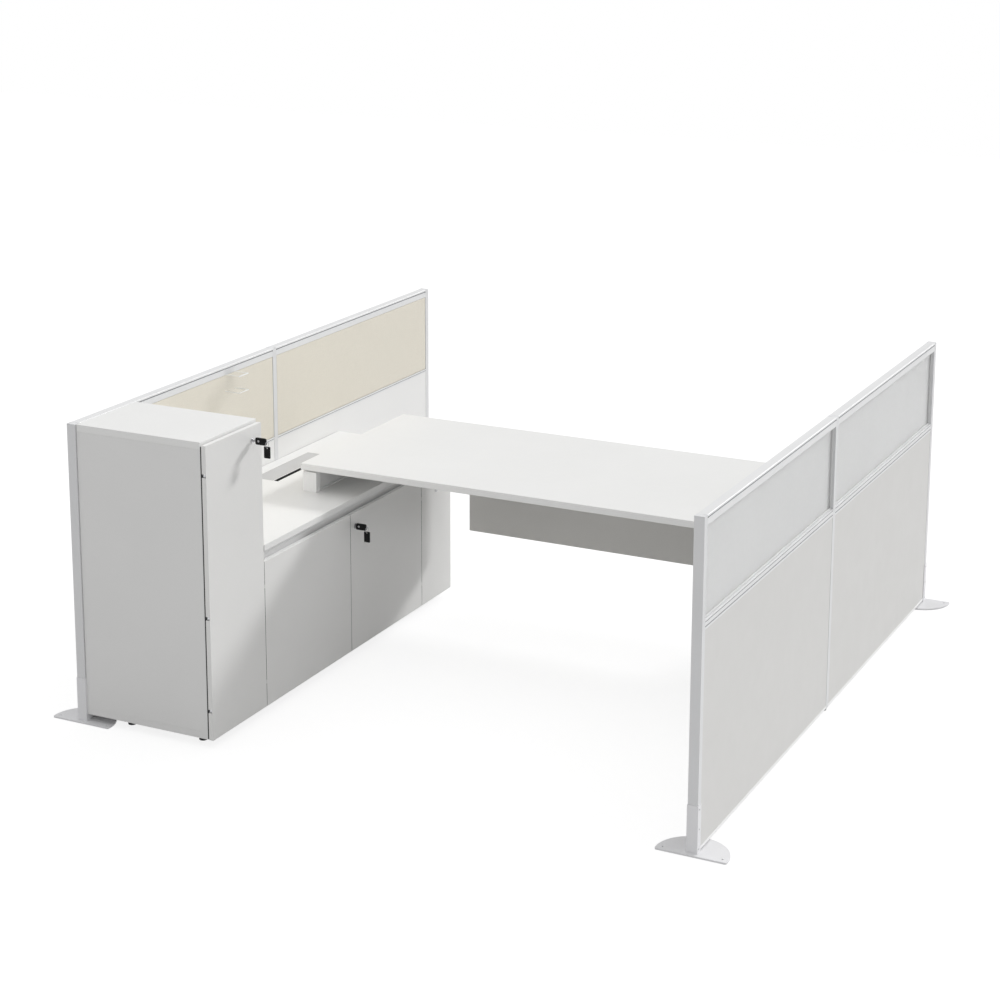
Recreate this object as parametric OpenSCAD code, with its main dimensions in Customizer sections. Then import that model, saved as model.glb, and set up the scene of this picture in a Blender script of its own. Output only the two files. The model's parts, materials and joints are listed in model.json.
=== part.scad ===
// Cubicle workstation: two free standing screens, a tall cabinet and a low cabinet along the left screen,
// and a desk that rests on the low cabinet at its left end and on a leg frame at its right end.
// Millimetres, +Z up. X runs along the desk from the left screen to the right screen.
// Y runs along the screens away from the sitter's open end, and the origin is on the floor in mid plan.

/* [Screens] */
// Height of both screens
screen_h = 1100; // [1000:5:1400]
// Length of both screens, post to post outside
screen_l = 2586; // [2400:2:3000]
// Thickness of the screen frames
screen_t = 34.5; // [32:0.5:40]
// Width of a post along the screen
post_w = 26; // [25:0.5:40]
// Height of the top rail
top_rail_h = 33; // [30:0.5:45]
// Height of the middle rail's lower edge above the floor
mid_rail_z = 734; // [600:1:800]
// Height of the middle rail
mid_rail_h = 29.5; // [28:0.5:40]
// Gap between the floor and the screens' lower edge
screen_gap = 9; // [9:0.5:40]
// Thickness of the frosted glass
glass_t = 6; // [4:0.5:8]
// How far the fabric panels lie behind the frame faces
fabric_recess = 1; // [1:0.5:6]
// How far the lower tiles lie behind the frame faces
tile_recess = 1; // [0.5:0.5:5]
// Radius of the half round foot plates
foot_r = 120; // [90:1:160]
// How far the foot plates reach beyond the screens' ends
foot_out = 15; // [5:1:30]
// Thickness of the foot plates
foot_t = 6; // [4:0.5:8]
// Height of the sleeves round the foot spigots
sleeve_h = 160; // [80:1:250]
// How far the sleeves stand proud of the posts
sleeve_proud = 1.5; // [0.5:0.1:3]

/* [Desk] */
// Height of the desk's top face
desk_h = 750; // [730:1:790]
// Length of the desk top
desk_l = 1974; // [1600:1:2400]
// Depth of the desk top
desk_d = 810; // [750:1:860]
// Thickness of the desk top
desk_t = 25; // [18:0.5:30]
// Distance from the left screen to the desk's left end
desk_inset = 313; // [250:1:330]
// Gap between the desk's right end and the right screen
desk_end_gap = 2; // [1:0.5:20]
// Height of the riser between the low cabinet and the desk
riser_h = 87; // [60:1:120]
// Width of the riser's end caps
riser_w = 58; // [50:1:90]
// Height of the modesty panel
modesty_h = 427; // [250:1:480]
// Thickness of the modesty panel
modesty_t = 18; // [12:0.5:25]
// Distance from the desk's left end to the modesty panel
modesty_left = 318; // [310:1:500]
// Side of the square leg tubes
leg_w = 50; // [35:0.5:60]

/* [Cabinets] */
// Height of the tall cabinet
tall_h = 1099; // [1000:1:1300]
// Width of the tall cabinet along the screen
tall_w = 348; // [300:1:450]
// Depth of both carcasses without their doors
carcass_d = 512; // [460:1:560]
// Width of the two door part of the low cabinet
wide_w = 1171; // [1120:1:1300]
// Width of the low cabinet's end part
end_w = 252; // [200:1:350]
// Width of the left door of the pair
left_door_w = 605; // [540:1:640]
// Thickness of the side panels, partition and shelves
board_t = 18; // [16:0.5:22]
// Thickness of the tall cabinet's top and of both bottom panels
deck_t = 25; // [20:0.5:30]
// Thickness of the low cabinet's top
low_top_t = 22; // [18:0.5:28]
// Thickness of the back panels
back_t = 8; // [5:0.5:12]
// Thickness of the doors
door_t = 17; // [15.5:0.5:19]
// Gap between neighbouring doors
door_gap = 3; // [3:0.1:5]
// Gap between the doors and the carcass fronts
front_gap = 5; // [4.5:0.5:8]
// Clear height under the cabinets
base_gap = 32; // [25:0.5:60]
// How far the tall door stops short of the cabinet's top
tall_door_drop = 11; // [2:0.5:20]
// Height of the finger channel over the low doors
grip_h = 40; // [30:0.5:60]

/* [Cable flap] */
// Width of the cable flap
flap_w = 88; // [70:1:110]
// Length of the cable flap
flap_l = 401; // [300:1:420]
// Thickness of the cable flap
flap_t = 4; // [3:0.5:6]
// Width of the brushed cable slot beside the flap
slot_w = 20; // [8:0.5:26]
// Depth of the cable trough under the flap
trough_h = 60; // [40:1:90]

/* [Locks and keys] */
// Radius of the lock housings
lock_r = 9; // [8:0.5:11]
// Radius of the turning lock plugs
plug_r = 6; // [5:0.25:7]
// Distance from a low door's edge to its lock
lock_inset = 36; // [26:0.5:60]
// Distance from the tall door's free edge to its lock
tall_lock_inset = 57; // [45:0.5:62]
// Distance from the tall door's top edge down to its lock
tall_lock_drop = 51; // [45:1:90]
// Distance from the low doors' top edge down to the right door's lock
low_lock_drop = 53; // [50:0.5:66]
// Distance from the low doors' top edge down to the end door's lock
end_lock_drop = 85; // [78:0.5:100]
// Distance from the tall door's face to its key's bow
tall_bow_start = 13; // [3.5:0.5:16]
// Length of the tall door's key bow
tall_bow_l = 44; // [30:0.5:60]
// Distance from the low door's face to its key's bow
low_bow_start = 3.5; // [3.5:0.5:16]
// Length of the low door's key bow
low_bow_l = 44.5; // [30:0.5:60]
// Width of the key bows
bow_w = 25; // [18:0.5:27]
// Thickness of the key bows
bow_t = 6; // [5:0.5:8]

/* [Pen pot] */
// Outer width and depth of the pen pot
pot_w = 66; // [50:1:90]
// Height of the pen pot
pot_h = 67; // [50:1:100]
// Wall thickness of the pen pot
pot_wall = 3; // [2:0.25:4]
// Distance from the screen's near end to the pen pot
pot_place = 933; // [500:1:1150]

/* [Hidden] */

eps = 1;
seat = 0.3;
fit = 0.05;
round_fn = 48;
full_turn = 360;
quarter = full_turn / 4;

// Screen frame details
groove_w = glass_t + 2 * seat;
groove_d = 5;
tongue = groove_d - eps;
rail_slot_h = 4;
rail_slot_d = 6;
rail_slot_drop = 7;
mid_slot_up = 7;
mid_line_up = 23;
mid_line_h = 3;
mid_line_d = 6;
left_rail_drop = 12;
left_head_h = 13;
left_web_up = 18;
left_web_w = 14;
left_slot_up = 5;
left_slot_h = 2.5;
frame_wall = 2;
edge_cut = 1.5;
cap_t = 3;
cap_plug_h = 12;
spigot_x = 26;
spigot_y = 12;
spigot_up = 120;
anchor_r = 4;
anchor_in = 20;
anchor_back = 4;
foot_tip_r = 6;
bottom_rail_w = 14;
bottom_rail_h = 14;
screw_r = 1.6;
screw_head_r = 2.8;
screw_head_t = 1.2;
screw_l = 5;
screw_side = 10;
screw_end_in = 14;
glide_r = 14;
glide_neck_r = 12;
glide_t = 5;

aisle_w = desk_inset + desk_l + desk_end_gap;
low_h = desk_h - desk_t - riser_h;
span = aisle_w + screen_t;
xl = -aisle_w / 2;
xr = aisle_w / 2;
yn = -screen_l / 2;
yf = screen_l / 2;
bay = (screen_l - 3 * post_w) / 2;
mid_rail_top = mid_rail_z + mid_rail_h;
left_rail_z = mid_rail_z - left_rail_drop;
left_rail_top = left_rail_z + left_head_h;
post_base = foot_t + sleeve_h;

// Cabinet places
cab_setback = 6;
cab_x0 = xl + sleeve_proud;
ty0 = yn + cab_setback;
ty1 = ty0 + tall_w;
y_meet = ty1 + left_door_w;
y_part = ty1 + wide_w;
y_end = y_part + end_w;
cx1 = xl + carcass_d;
dx0 = cx1 + front_gap;
dx1 = dx0 + door_t;
deck_z = base_gap + deck_t;
tall_deck_z = tall_h - deck_t;
low_under = low_h - low_top_t;
low_door_top = low_under - grip_h;
tall_door_top = tall_h - tall_door_drop;
top_nose = 2;
tall_lock_z = tall_door_top - tall_lock_drop;
low_lock_z = low_door_top - low_lock_drop;
end_lock_z = low_door_top - end_lock_drop;
back_x = cab_x0 + back_t;
half_gap = door_gap / 2;

// Shelves and their pins
shelf_play = 0.5;
shelf_front = 30;
shelf_rear = 2;
pin_r = 2.5;
pin_l = 16;
pin_in = 7;
pin_from_end = 60;
tall_shelf_shares = [0.25, 0.5, 0.75];
low_shelf_share = 0.45;
end_pin_up = 32;
tall_inside = tall_deck_z - deck_z;
low_inside = low_under - deck_z;

// Levellers
leveller_r = 15;
stem_share = 2 / 3;
leveller_t = 6;
leveller_in = 60;
leveller_back = 150;
leveller_side = 60;

// Grip rail behind the finger channel of the low doors
grip_x1 = cx1 - 4;
grip_t = 3;
grip_lap = 40;

// Hinges: an eye on a carcass arm, a pin, and a pocket in the door round the eye
pivot_in = 8;
pivot_face = 5;
pivot_x = dx1 - pivot_face;
hinge_pin_r = 1.75;
hinge_pin_in = 8;
eye_r = 3.25;
eye_play = 0.5;
arm_t = 2.4;
arm_h = 12;
leg_half = 1.5;
flange_t = 3;
flange_l = 45;
arm_screw_r = 4;
arm_screw_t = 1;
arm_screw_shares = [1 / 3, 4 / 5];
hinge_end_share = 0.1;
hinge_mid_share = 0.42;
low_hinge_end_share = 0.17;

// Locks and keys
lock_flange = 2;
lock_flange_t = 2;
nut_r = 12;
nut_t = 3;
plug_face = 1;
cam_set = 8;
plug_neck = 3;
plug_rear = door_t + front_gap + cam_set;
lock_rear = plug_rear - plug_neck;
cam_t = 2.5;
cam_w = 12;
cam_l = 36;
strike_t = 3;
strike_w = 15;
strike_h = 30;
strike_l = 25;
blade_w = 8;
blade_t = 2.2;
blade_l = 16;
bow_corner = 5;
stud_r = 1.5;
stud_l = 5;
stud_head_r = 3.2;
stud_head_t = 1.5;
ring_r = 10.5;
ring_wire_r = 0.8;
ring_off = 2.5;
spare_w = 25;
spare_l = 42;
spare_t = 4;
spare_hole_r = 2.5;
spare_rim = 2.5;
spare_corner = 4;

// Cable flap
flap_place = 55;
flap_start = 1041;
flap_pin_r = 1.2;
flap_pin_l = 6;
flap_edge = 1;
flap_x0 = xl + flap_place;
flap_x1 = flap_x0 + flap_w;
slot_x1 = flap_x1 + slot_w;
flap_y0 = yn + flap_start;
flap_y1 = flap_y0 + flap_l;
flap_axis_x = flap_x0 + flap_t / 2;
flap_axis_z = low_h - flap_t / 2;
trough_wall = 2;
trough_lip = 12;
trough_ledge_t = 4;
brush_base = 3;
brush_h = 12;
brush_t = 1.5;
brush_drop = 0.5;

// Desk
desk_x0 = xl + desk_inset;
desk_x1 = desk_x0 + desk_l;
desk_y1 = y_end;
desk_y0 = desk_y1 - desk_d;
desk_under = desk_h - desk_t;
riser_cap_l = 28;
riser_cap_drop = 8;
riser_set_x = 4;
riser_set_y = 10;
riser_in_left = 4;
riser_in_right = 16;
riser_lip = 15;
riser_lip_t = 3;
modesty_y1 = desk_y1;
modesty_y0 = modesty_y1 - modesty_t;
leg_from_end = 13;
leg_front_in = 32;
leg_rear_in = 28;
leg_x1 = desk_x1 - leg_from_end;
leg_x0 = leg_x1 - leg_w;
leg_lift = 14;
leg_wall = 2;
bracket_w = 40;
bracket_t = 3;
bracket_l = 60;
bracket_shares = [0.06, 0.35, 0.65, 0.94];
bracket_screw_shares = [1 / 2, 4 / 5];

// Pen pot
pot_floor = 3;
pot_drop = 30;
pot_lip_t = 3;
pot_lip_in = 5;
pot_y0 = yn + pot_place;
pot_top = screen_h - pot_drop;
slot_z = screen_h - rail_slot_drop - rail_slot_h;

module block(a, b) {
    translate(a) cube(b - a);
}

// A rod along X, Y or Z from a point, with its length signed
module rod_x(p, r, l) {
    translate(p) rotate([0, quarter, 0]) cylinder(r = r, h = l, $fn = round_fn);
}

module rod_y(p, r, l) {
    translate(p) rotate([-quarter, 0, 0]) cylinder(r = r, h = l, $fn = round_fn);
}

module rod_z(p, r, l) {
    translate(p) cylinder(r = r, h = l, $fn = round_fn);
}

// Copies a shape made about a screen's centre line to both screens
module both_screens() {
    for (s = [-1, 1]) translate([s * span / 2, 0, 0]) children();
}

// Section of a post: a square tube with a glazing groove on each side that faces a bay
module post_section(near_groove, far_groove) {
    pocket_x = screen_t / 2 - frame_wall - groove_w / 2 - frame_wall;
    pocket_y = groove_d - frame_wall;
    difference() {
        square([screen_t, post_w], center = true);
        square([spigot_x + 2 * seat, spigot_y + 2 * seat], center = true);
        pocket_at = [(screen_t - pocket_x) / 2 - frame_wall, (post_w - pocket_y) / 2 - frame_wall];
        for (sx = [-1, 1], sy = [-1, 1])
            translate([sx * pocket_at.x, sy * pocket_at.y]) square([pocket_x, pocket_y], center = true);
        if (near_groove) translate([0, -post_w / 2]) square([groove_w, 2 * groove_d], center = true);
        if (far_groove) translate([0, post_w / 2]) square([groove_w, 2 * groove_d], center = true);
    }
}

module post_bar(y, z0, z1, near_groove, far_groove) {
    translate([0, y, z0]) linear_extrude(z1 - z0) post_section(near_groove, far_groove);
}

module near_posts() {
    color([0.83, 0.84, 0.87])
        both_screens() post_bar(yn + post_w / 2, post_base, screen_h - cap_t, false, true);
}

module mid_posts() {
    color([0.83, 0.84, 0.87])
        both_screens() post_bar(0, screen_gap, screen_h - cap_t, true, true);
}

module far_posts() {
    color([0.83, 0.84, 0.87])
        both_screens() post_bar(yf - post_w / 2, post_base, screen_h - cap_t, true, false);
}

// Two bars of one section, one in each bay, with the section drawn in X and Z
module bay_bars() {
    for (y = [-post_w / 2 - bay, post_w / 2])
        translate([0, y + bay, 0]) rotate([quarter, 0, 0]) linear_extrude(bay) children();
}

module top_rail_section() {
    half = screen_t / 2;
    low = screen_h - top_rail_h;
    core_w = screen_t - 2 * rail_slot_d - 2 * frame_wall;
    difference() {
        polygon([[-half, low], [half, low], [half, screen_h - edge_cut], [half - edge_cut, screen_h],
            [-half + edge_cut, screen_h], [-half, screen_h - edge_cut]]);
        translate([-core_w / 2, low + groove_d + frame_wall])
            square([core_w, top_rail_h - groove_d - 2 * frame_wall]);
        translate([-groove_w / 2, low - eps]) square([groove_w, groove_d + eps]);
        for (s = [-1, 1])
            translate([s * half, slot_z + rail_slot_h / 2])
                square([2 * rail_slot_d, rail_slot_h], center = true);
    }
}

module top_rails() {
    color([0.9, 0.91, 0.93]) both_screens() bay_bars() top_rail_section();
}

module mid_rail_section() {
    half = screen_t / 2;
    difference() {
        translate([-half, mid_rail_z]) square([screen_t, mid_rail_h]);
        for (z = [mid_rail_z - eps, mid_rail_top - groove_d])
            translate([-groove_w / 2, z]) square([groove_w, groove_d + eps]);
        for (s = [-1, 1]) {
            translate([s * half, mid_rail_z + mid_slot_up + rail_slot_h / 2])
                square([2 * rail_slot_d, rail_slot_h], center = true);
            translate([s * half, mid_rail_z + mid_line_up + mid_line_h / 2])
                square([2 * mid_line_d, mid_line_h], center = true);
        }
    }
}

// Section of the left screen's middle rail: a low head, and a web that stands in the panels above it
module left_rail_section() {
    half = screen_t / 2;
    difference() {
        union() {
            translate([-half, left_rail_z]) square([screen_t, left_head_h]);
            translate([-left_web_w / 2, left_rail_top - eps]) square([left_web_w, left_web_up + eps]);
        }
        translate([-groove_w / 2, left_rail_z - eps]) square([groove_w, groove_d + eps]);
        for (s = [-1, 1])
            translate([s * half, left_rail_z + left_slot_up + left_slot_h / 2])
                square([2 * rail_slot_d, left_slot_h], center = true);
    }
}

module mid_rails() {
    color([0.9, 0.91, 0.93]) {
        translate([-span / 2, 0, 0]) bay_bars() left_rail_section();
        translate([span / 2, 0, 0]) bay_bars() mid_rail_section();
    }
}

module bottom_rails() {
    color([0.6, 0.61, 0.63])
        both_screens() bay_bars()
            translate([-bottom_rail_w / 2, screen_gap]) square([bottom_rail_w, bottom_rail_h]);
}

// Caps on the post tops, each with a plug in the post's core
module post_caps() {
    cap_half = [screen_t / 2, post_w / 2];
    color([0.88, 0.89, 0.91])
        both_screens()
            for (y = [yn + post_w / 2, 0, yf - post_w / 2]) translate([0, y, screen_h - cap_t]) {
                block([-cap_half.x, -cap_half.y, 0], [cap_half.x, cap_half.y, cap_t]);
                translate([0, 0, -cap_plug_h / 2])
                    cube([spigot_x, spigot_y, cap_plug_h + eps / 2], center = true);
            }
}

// A panel that fills one bay between two heights, with a thin tongue on its sides and its top,
// slotted below for a web of the given width and height
module infill(y0, z0, z1, thick, web_w, web_h) {
    difference() {
        union() {
            block([-thick / 2, y0, z0], [thick / 2, y0 + bay, z1]);
            block([-glass_t / 2, y0 - tongue, z0], [glass_t / 2, y0 + bay + tongue, z1 + tongue]);
        }
        block([-web_w / 2 - seat, y0 - groove_d, z0 - eps],
            [web_w / 2 + seat, y0 + bay + groove_d, z0 + web_h]);
    }
}

module fabric_panel(y0) {
    infill(y0, left_rail_top, screen_h - top_rail_h, fabric_t, left_web_w, left_web_up + seat);
}

bay_near_y = -post_w / 2 - bay;
bay_far_y = post_w / 2;
fabric_t = screen_t - 2 * fabric_recess;
tile_t = screen_t - 2 * tile_recess;

module fabric_panel_near() {
    color([0.87, 0.85, 0.78]) translate([-span / 2, 0, 0]) fabric_panel(bay_near_y);
}

module fabric_panel_far() {
    color([0.87, 0.85, 0.78]) translate([-span / 2, 0, 0]) fabric_panel(bay_far_y);
}

module glass_pane(y0) {
    translate([span / 2, 0, 0])
        block([-glass_t / 2, y0 - tongue, mid_rail_top - tongue],
            [glass_t / 2, y0 + bay + tongue, screen_h - top_rail_h + tongue]);
}

module glass_panel_near() {
    color([0.85, 0.87, 0.87, 0.6]) glass_pane(bay_near_y);
}

module glass_panel_far() {
    color([0.85, 0.87, 0.87, 0.6]) glass_pane(bay_far_y);
}

// A lower tile, which stands on the bottom rail
module tile(y0, z1) {
    infill(y0, screen_gap, z1, tile_t, bottom_rail_w, bottom_rail_h);
}

module left_tile_near() {
    color([0.9, 0.9, 0.88]) translate([-span / 2, 0, 0]) tile(bay_near_y, left_rail_z);
}

module left_tile_far() {
    color([0.9, 0.9, 0.88]) translate([-span / 2, 0, 0]) tile(bay_far_y, left_rail_z);
}

module right_tile_near() {
    color([0.84, 0.84, 0.82]) translate([span / 2, 0, 0]) tile(bay_near_y, mid_rail_z);
}

module right_tile_far() {
    color([0.84, 0.84, 0.82]) translate([span / 2, 0, 0]) tile(bay_far_y, mid_rail_z);
}

// A half round foot plate with its round side towards +Y, its spigot and two floor anchor holes
module foot() {
    anchor_x = foot_r - anchor_in;
    tip = [sqrt(pow(foot_r - foot_tip_r, 2) - pow(foot_out - foot_tip_r, 2)), -foot_out + foot_tip_r];
    difference() {
        union() {
            intersection() {
                cylinder(r = foot_r, h = foot_t, $fn = 4 * round_fn);
                block([-tip.x, -foot_out, 0], [tip.x, foot_r, foot_t]);
            }
            intersection() {
                cylinder(r = foot_r, h = foot_t, $fn = 4 * round_fn);
                block([-foot_r, tip.y, 0], [foot_r, foot_r, foot_t]);
            }
            for (s = [-1, 1]) rod_z([s * tip.x, tip.y, 0], foot_tip_r, foot_t);
        }
        for (s = [-1, 1]) rod_z([s * anchor_x, anchor_back, -eps], anchor_r, foot_t + 2 * eps);
    }
    translate([-spigot_x / 2, post_w / 2 - spigot_y / 2, foot_t - eps])
        cube([spigot_x, spigot_y, sleeve_h + spigot_up + eps]);
}

module each_foot() {
    both_screens() {
        translate([0, yn, 0]) children();
        translate([0, yf, 0]) mirror([0, 1, 0]) children();
    }
}

module screen_feet() {
    color([0.85, 0.86, 0.88]) each_foot() foot();
}

// The four sleeve places, each seen with the screen's outer face at +X and its end at -Y
module each_sleeve() {
    for (sx = [0, 1], sy = [0, 1])
        mirror([sx, 0, 0]) mirror([0, sy, 0]) translate([span / 2, yn, 0]) children();
}

module sleeve_screw_places() {
    for (z = [foot_t + screw_end_in, foot_t + sleeve_h / 2, foot_t + sleeve_h - screw_end_in])
        translate([screen_t / 2 + sleeve_proud, screw_side, z]) children();
}

// A post's section with a skin round its two faces and its end
module sleeve_section() {
    translate([0, post_w / 2]) post_section(false, true);
    difference() {
        translate([-screen_t / 2 - sleeve_proud, -sleeve_proud])
            square([screen_t + 2 * sleeve_proud, post_w + sleeve_proud]);
        translate([-screen_t / 2, 0]) square([screen_t, post_w + eps]);
    }
}

module foot_sleeves() {
    color([0.83, 0.84, 0.87])
        each_sleeve() difference() {
            translate([0, 0, foot_t]) linear_extrude(sleeve_h) sleeve_section();
            sleeve_screw_places() rod_x([-screw_l, 0, 0], screw_r + fit, screw_l + eps);
        }
}

module sleeve_screws() {
    color([0.6, 0.6, 0.62])
        each_sleeve() sleeve_screw_places() {
            rod_x([-screw_l + seat, 0, 0], screw_r, screw_l);
            rod_x([0, 0, 0], screw_head_r, screw_head_t);
        }
}

module mid_glides() {
    color([0.15, 0.15, 0.16])
        both_screens() {
            rod_z([0, 0, 0], glide_r, glide_t);
            rod_z([0, 0, glide_t - eps], glide_neck_r, screen_gap - glide_t + eps);
        }
}

// Tall cabinet
board_tone = [0.8, 0.8, 0.79];

module tall_top() {
    color([0.93, 0.93, 0.92]) block([cab_x0, ty0, tall_deck_z], [cx1, ty1, tall_h]);
}

module tall_bottom() {
    color(board_tone) block([cab_x0, ty0, base_gap], [cx1, ty1, deck_z]);
}

// Bores for shelf pins in a side panel, from the face at y along the direction s
module pin_bores(y, s, heights) {
    for (z = heights, x = [back_x + pin_from_end, cx1 - shelf_front - pin_from_end])
        translate([x, y + s * pin_in / 2, z - pin_r]) rotate([quarter, 0, 0])
            cylinder(r = pin_r + fit, h = pin_in + 2 * seat, center = true, $fn = round_fn);
}

module pins_at(y, s, heights) {
    for (z = heights, x = [back_x + pin_from_end, cx1 - shelf_front - pin_from_end])
        translate([x, y + s * (pin_in - pin_l / 2), z - pin_r]) rotate([quarter, 0, 0])
            cylinder(r = pin_r, h = pin_l, center = true, $fn = round_fn);
}

tall_shelf_z = [for (s = tall_shelf_shares) deck_z + s * tall_inside];
low_shelf_z = [deck_z + low_shelf_share * low_inside];

module tall_side_near() {
    color([0.75, 0.75, 0.74]) difference() {
        block([cab_x0, ty0, deck_z], [cx1, ty0 + board_t, tall_deck_z]);
        pin_bores(ty0 + board_t, -1, tall_shelf_z);
    }
}

module tall_side_far() {
    color([0.75, 0.75, 0.74]) difference() {
        block([cab_x0, ty1 - board_t, deck_z], [cx1, ty1, tall_deck_z]);
        pin_bores(ty1 - board_t, 1, tall_shelf_z);
    }
}

module tall_back() {
    color(board_tone) block([cab_x0, ty0 + board_t, deck_z], [back_x, ty1 - board_t, tall_deck_z]);
}

module shelf(y0, y1, z) {
    block([back_x + shelf_rear, y0 + shelf_play, z], [cx1 - shelf_front, y1 - shelf_play, z + board_t]);
}

module tall_shelves() {
    color(board_tone) for (z = tall_shelf_z) shelf(ty0 + board_t, ty1 - board_t, z);
}

// Low cabinet: a wide part with a pair of doors and a narrow end part
wide_y0 = ty1 + board_t;
wide_y1 = y_part - board_t / 2;
end_y0 = y_part + board_t / 2;
end_y1 = y_end - board_t;

module low_bottom() {
    color(board_tone) block([cab_x0, ty1, base_gap], [cx1, y_end, deck_z]);
}

module low_side_near() {
    color(board_tone) difference() {
        block([cab_x0, ty1, deck_z], [cx1, wide_y0, low_under]);
        pin_bores(wide_y0, -1, low_shelf_z);
    }
}

module low_partition() {
    color(board_tone) difference() {
        block([cab_x0, wide_y1, deck_z], [cx1, end_y0, low_under]);
        pin_bores(wide_y1, 1, low_shelf_z);
        pin_bores(end_y0, -1, [low_shelf_z[0] + end_pin_up]);
    }
}

module low_side_far() {
    color(board_tone) difference() {
        block([cab_x0, end_y1, deck_z], [cx1, y_end, low_under]);
        pin_bores(end_y1, 1, [low_shelf_z[0] + end_pin_up]);
    }
}

module low_back() {
    color(board_tone) {
        block([cab_x0, wide_y0, deck_z], [back_x, wide_y1, low_under]);
        block([cab_x0, end_y0, deck_z], [back_x, end_y1, low_under]);
    }
}

module low_shelves() {
    color(board_tone) {
        shelf(wide_y0, wide_y1, low_shelf_z[0]);
        shelf(end_y0, end_y1, low_shelf_z[0] + end_pin_up);
    }
}

module shelf_pins() {
    color([0.7, 0.71, 0.72]) {
        pins_at(ty0 + board_t, -1, tall_shelf_z);
        pins_at(ty1 - board_t, 1, tall_shelf_z);
        pins_at(wide_y0, -1, low_shelf_z);
        pins_at(wide_y1, 1, low_shelf_z);
        pins_at(end_y0, -1, [low_shelf_z[0] + end_pin_up]);
        pins_at(end_y1, 1, [low_shelf_z[0] + end_pin_up]);
    }
}

// The low top, cut out for the flap and its cable slot, with bores for the flap's two pins
module low_top() {
    color([0.91, 0.91, 0.9]) difference() {
        block([cab_x0, ty1, low_under], [dx1 + top_nose, y_end, low_h]);
        block([flap_x0 - flap_edge, flap_y0 - flap_edge, low_under - eps],
            [slot_x1, flap_y1 + flap_edge, low_h + eps]);
        rod_y([flap_axis_x, flap_y0 - flap_pin_l - flap_edge, flap_axis_z], flap_pin_r + fit,
            flap_l + 2 * flap_pin_l + 2 * flap_edge);
    }
}

// The rails behind the finger channel, and the tall cabinet's catch plate, which the lock cams turn behind
module catch_rails() {
    strike_y = ty1 - board_t;
    color([0.62, 0.62, 0.62]) {
        for (y = [[wide_y0, wide_y1], [end_y0, end_y1]])
            block([grip_x1 - grip_t, y[0], low_door_top - grip_lap], [grip_x1, y[1], low_under]);
        translate([grip_x1, strike_y, tall_lock_z]) {
            block([-strike_t, -strike_w, -strike_h / 2], [0, 0, strike_h / 2]);
            block([-strike_l, -strike_t, -strike_h / 2], [0, 0, strike_h / 2]);
        }
    }
}

module leveller(x, y, top) {
    rod_z([x, y, 0], leveller_r, leveller_t);
    rod_z([x, y, leveller_t - eps], leveller_r * stem_share, top - leveller_t + eps);
}

module levellers() {
    leg_foot_y = [leg_y0 + leg_w, leg_y1 - leg_w];
    color([0.13, 0.13, 0.14]) {
        for (x = [xl + leveller_back, cx1 - leveller_in]) {
            for (y = [ty0 + leveller_side, ty1 - leveller_side, ty1 + leveller_side,
                y_part, y_end - leveller_side])
                leveller(x, y, base_gap);
        }
        for (y = leg_foot_y) leveller(leg_x0 + leg_w / 2, y, leg_lift);
    }
}

// Doors. A hinge is drawn with its pin on the Z axis, the door towards +Y and the room towards +X.
door_h_low = low_door_top - base_gap;
door_h_tall = tall_door_top - base_gap;
tall_hinge_z = [for (s = [hinge_end_share, hinge_mid_share, 1 - hinge_end_share]) base_gap + s * door_h_tall];
low_hinge_z = [for (s = [low_hinge_end_share, 1 - low_hinge_end_share]) base_gap + s * door_h_low];
pocket = eye_r + eye_play;
pocket_h = arm_h + 2 * eye_play;

module hinge_pocket() {
    pin_reach = arm_h / 2 + hinge_pin_in + seat;
    block([-door_t, -pivot_in - eps, -pocket_h / 2], [0, pocket, pocket_h / 2]);
    block([-eps, -pivot_in - eps, -pocket_h / 2], [pocket, 0, pocket_h / 2]);
    rod_z([0, 0, -pocket_h / 2], pocket, pocket_h);
    rod_z([0, 0, -pin_reach], hinge_pin_r + fit, 2 * pin_reach);
}

// An arm whose panel face lies at distance face along Y from the pin
module hinge_arm(face) {
    depth = pivot_x - cx1;
    difference() {
        union() {
            rod_z([0, 0, -arm_h / 2], eye_r, arm_h);
            block([-depth, -leg_half, -arm_h / 2], [0, leg_half, arm_h / 2]);
            block([-depth, -leg_half, -arm_h / 2], [-depth + arm_t, face + flange_t, arm_h / 2]);
            block([-depth - flange_l, face, -arm_h / 2], [-depth + arm_t, face + flange_t, arm_h / 2]);
            for (s = arm_screw_shares)
                rod_y([-depth - s * flange_l, face + flange_t - eps, 0], arm_screw_r, arm_screw_t + eps);
        }
        rod_z([0, 0, -arm_h], hinge_pin_r + fit, 2 * arm_h);
    }
}

tall_pivot_y = ty0 + pivot_in;
left_pivot_y = ty1 + half_gap + pivot_in;
right_pivot_y = y_part - half_gap - pivot_in;
end_pivot_y = y_part + half_gap + pivot_in;

// Each hinge place, with its distance from pin to panel face in $face
module each_hinge() {
    for (z = tall_hinge_z) translate([pivot_x, tall_pivot_y, z]) {
        $face = board_t - pivot_in;
        children();
    }
    for (z = low_hinge_z) {
        translate([pivot_x, left_pivot_y, z]) {
            $face = board_t - half_gap - pivot_in;
            children();
        }
        translate([pivot_x, right_pivot_y, z]) mirror([0, 1, 0]) {
            $face = board_t / 2 - half_gap - pivot_in;
            children();
        }
        translate([pivot_x, end_pivot_y, z]) {
            $face = board_t / 2 - half_gap - pivot_in;
            children();
        }
    }
}

module hinge_arms() {
    color([0.72, 0.73, 0.75]) each_hinge() hinge_arm($face);
}

module hinge_pins() {
    color([0.6, 0.61, 0.63])
        each_hinge() rod_z([0, 0, -arm_h / 2 - hinge_pin_in], hinge_pin_r, arm_h + 2 * hinge_pin_in);
}

module door_board(y0, y1, z1) {
    block([dx0, y0, base_gap], [dx1, y1, z1]);
}

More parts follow.
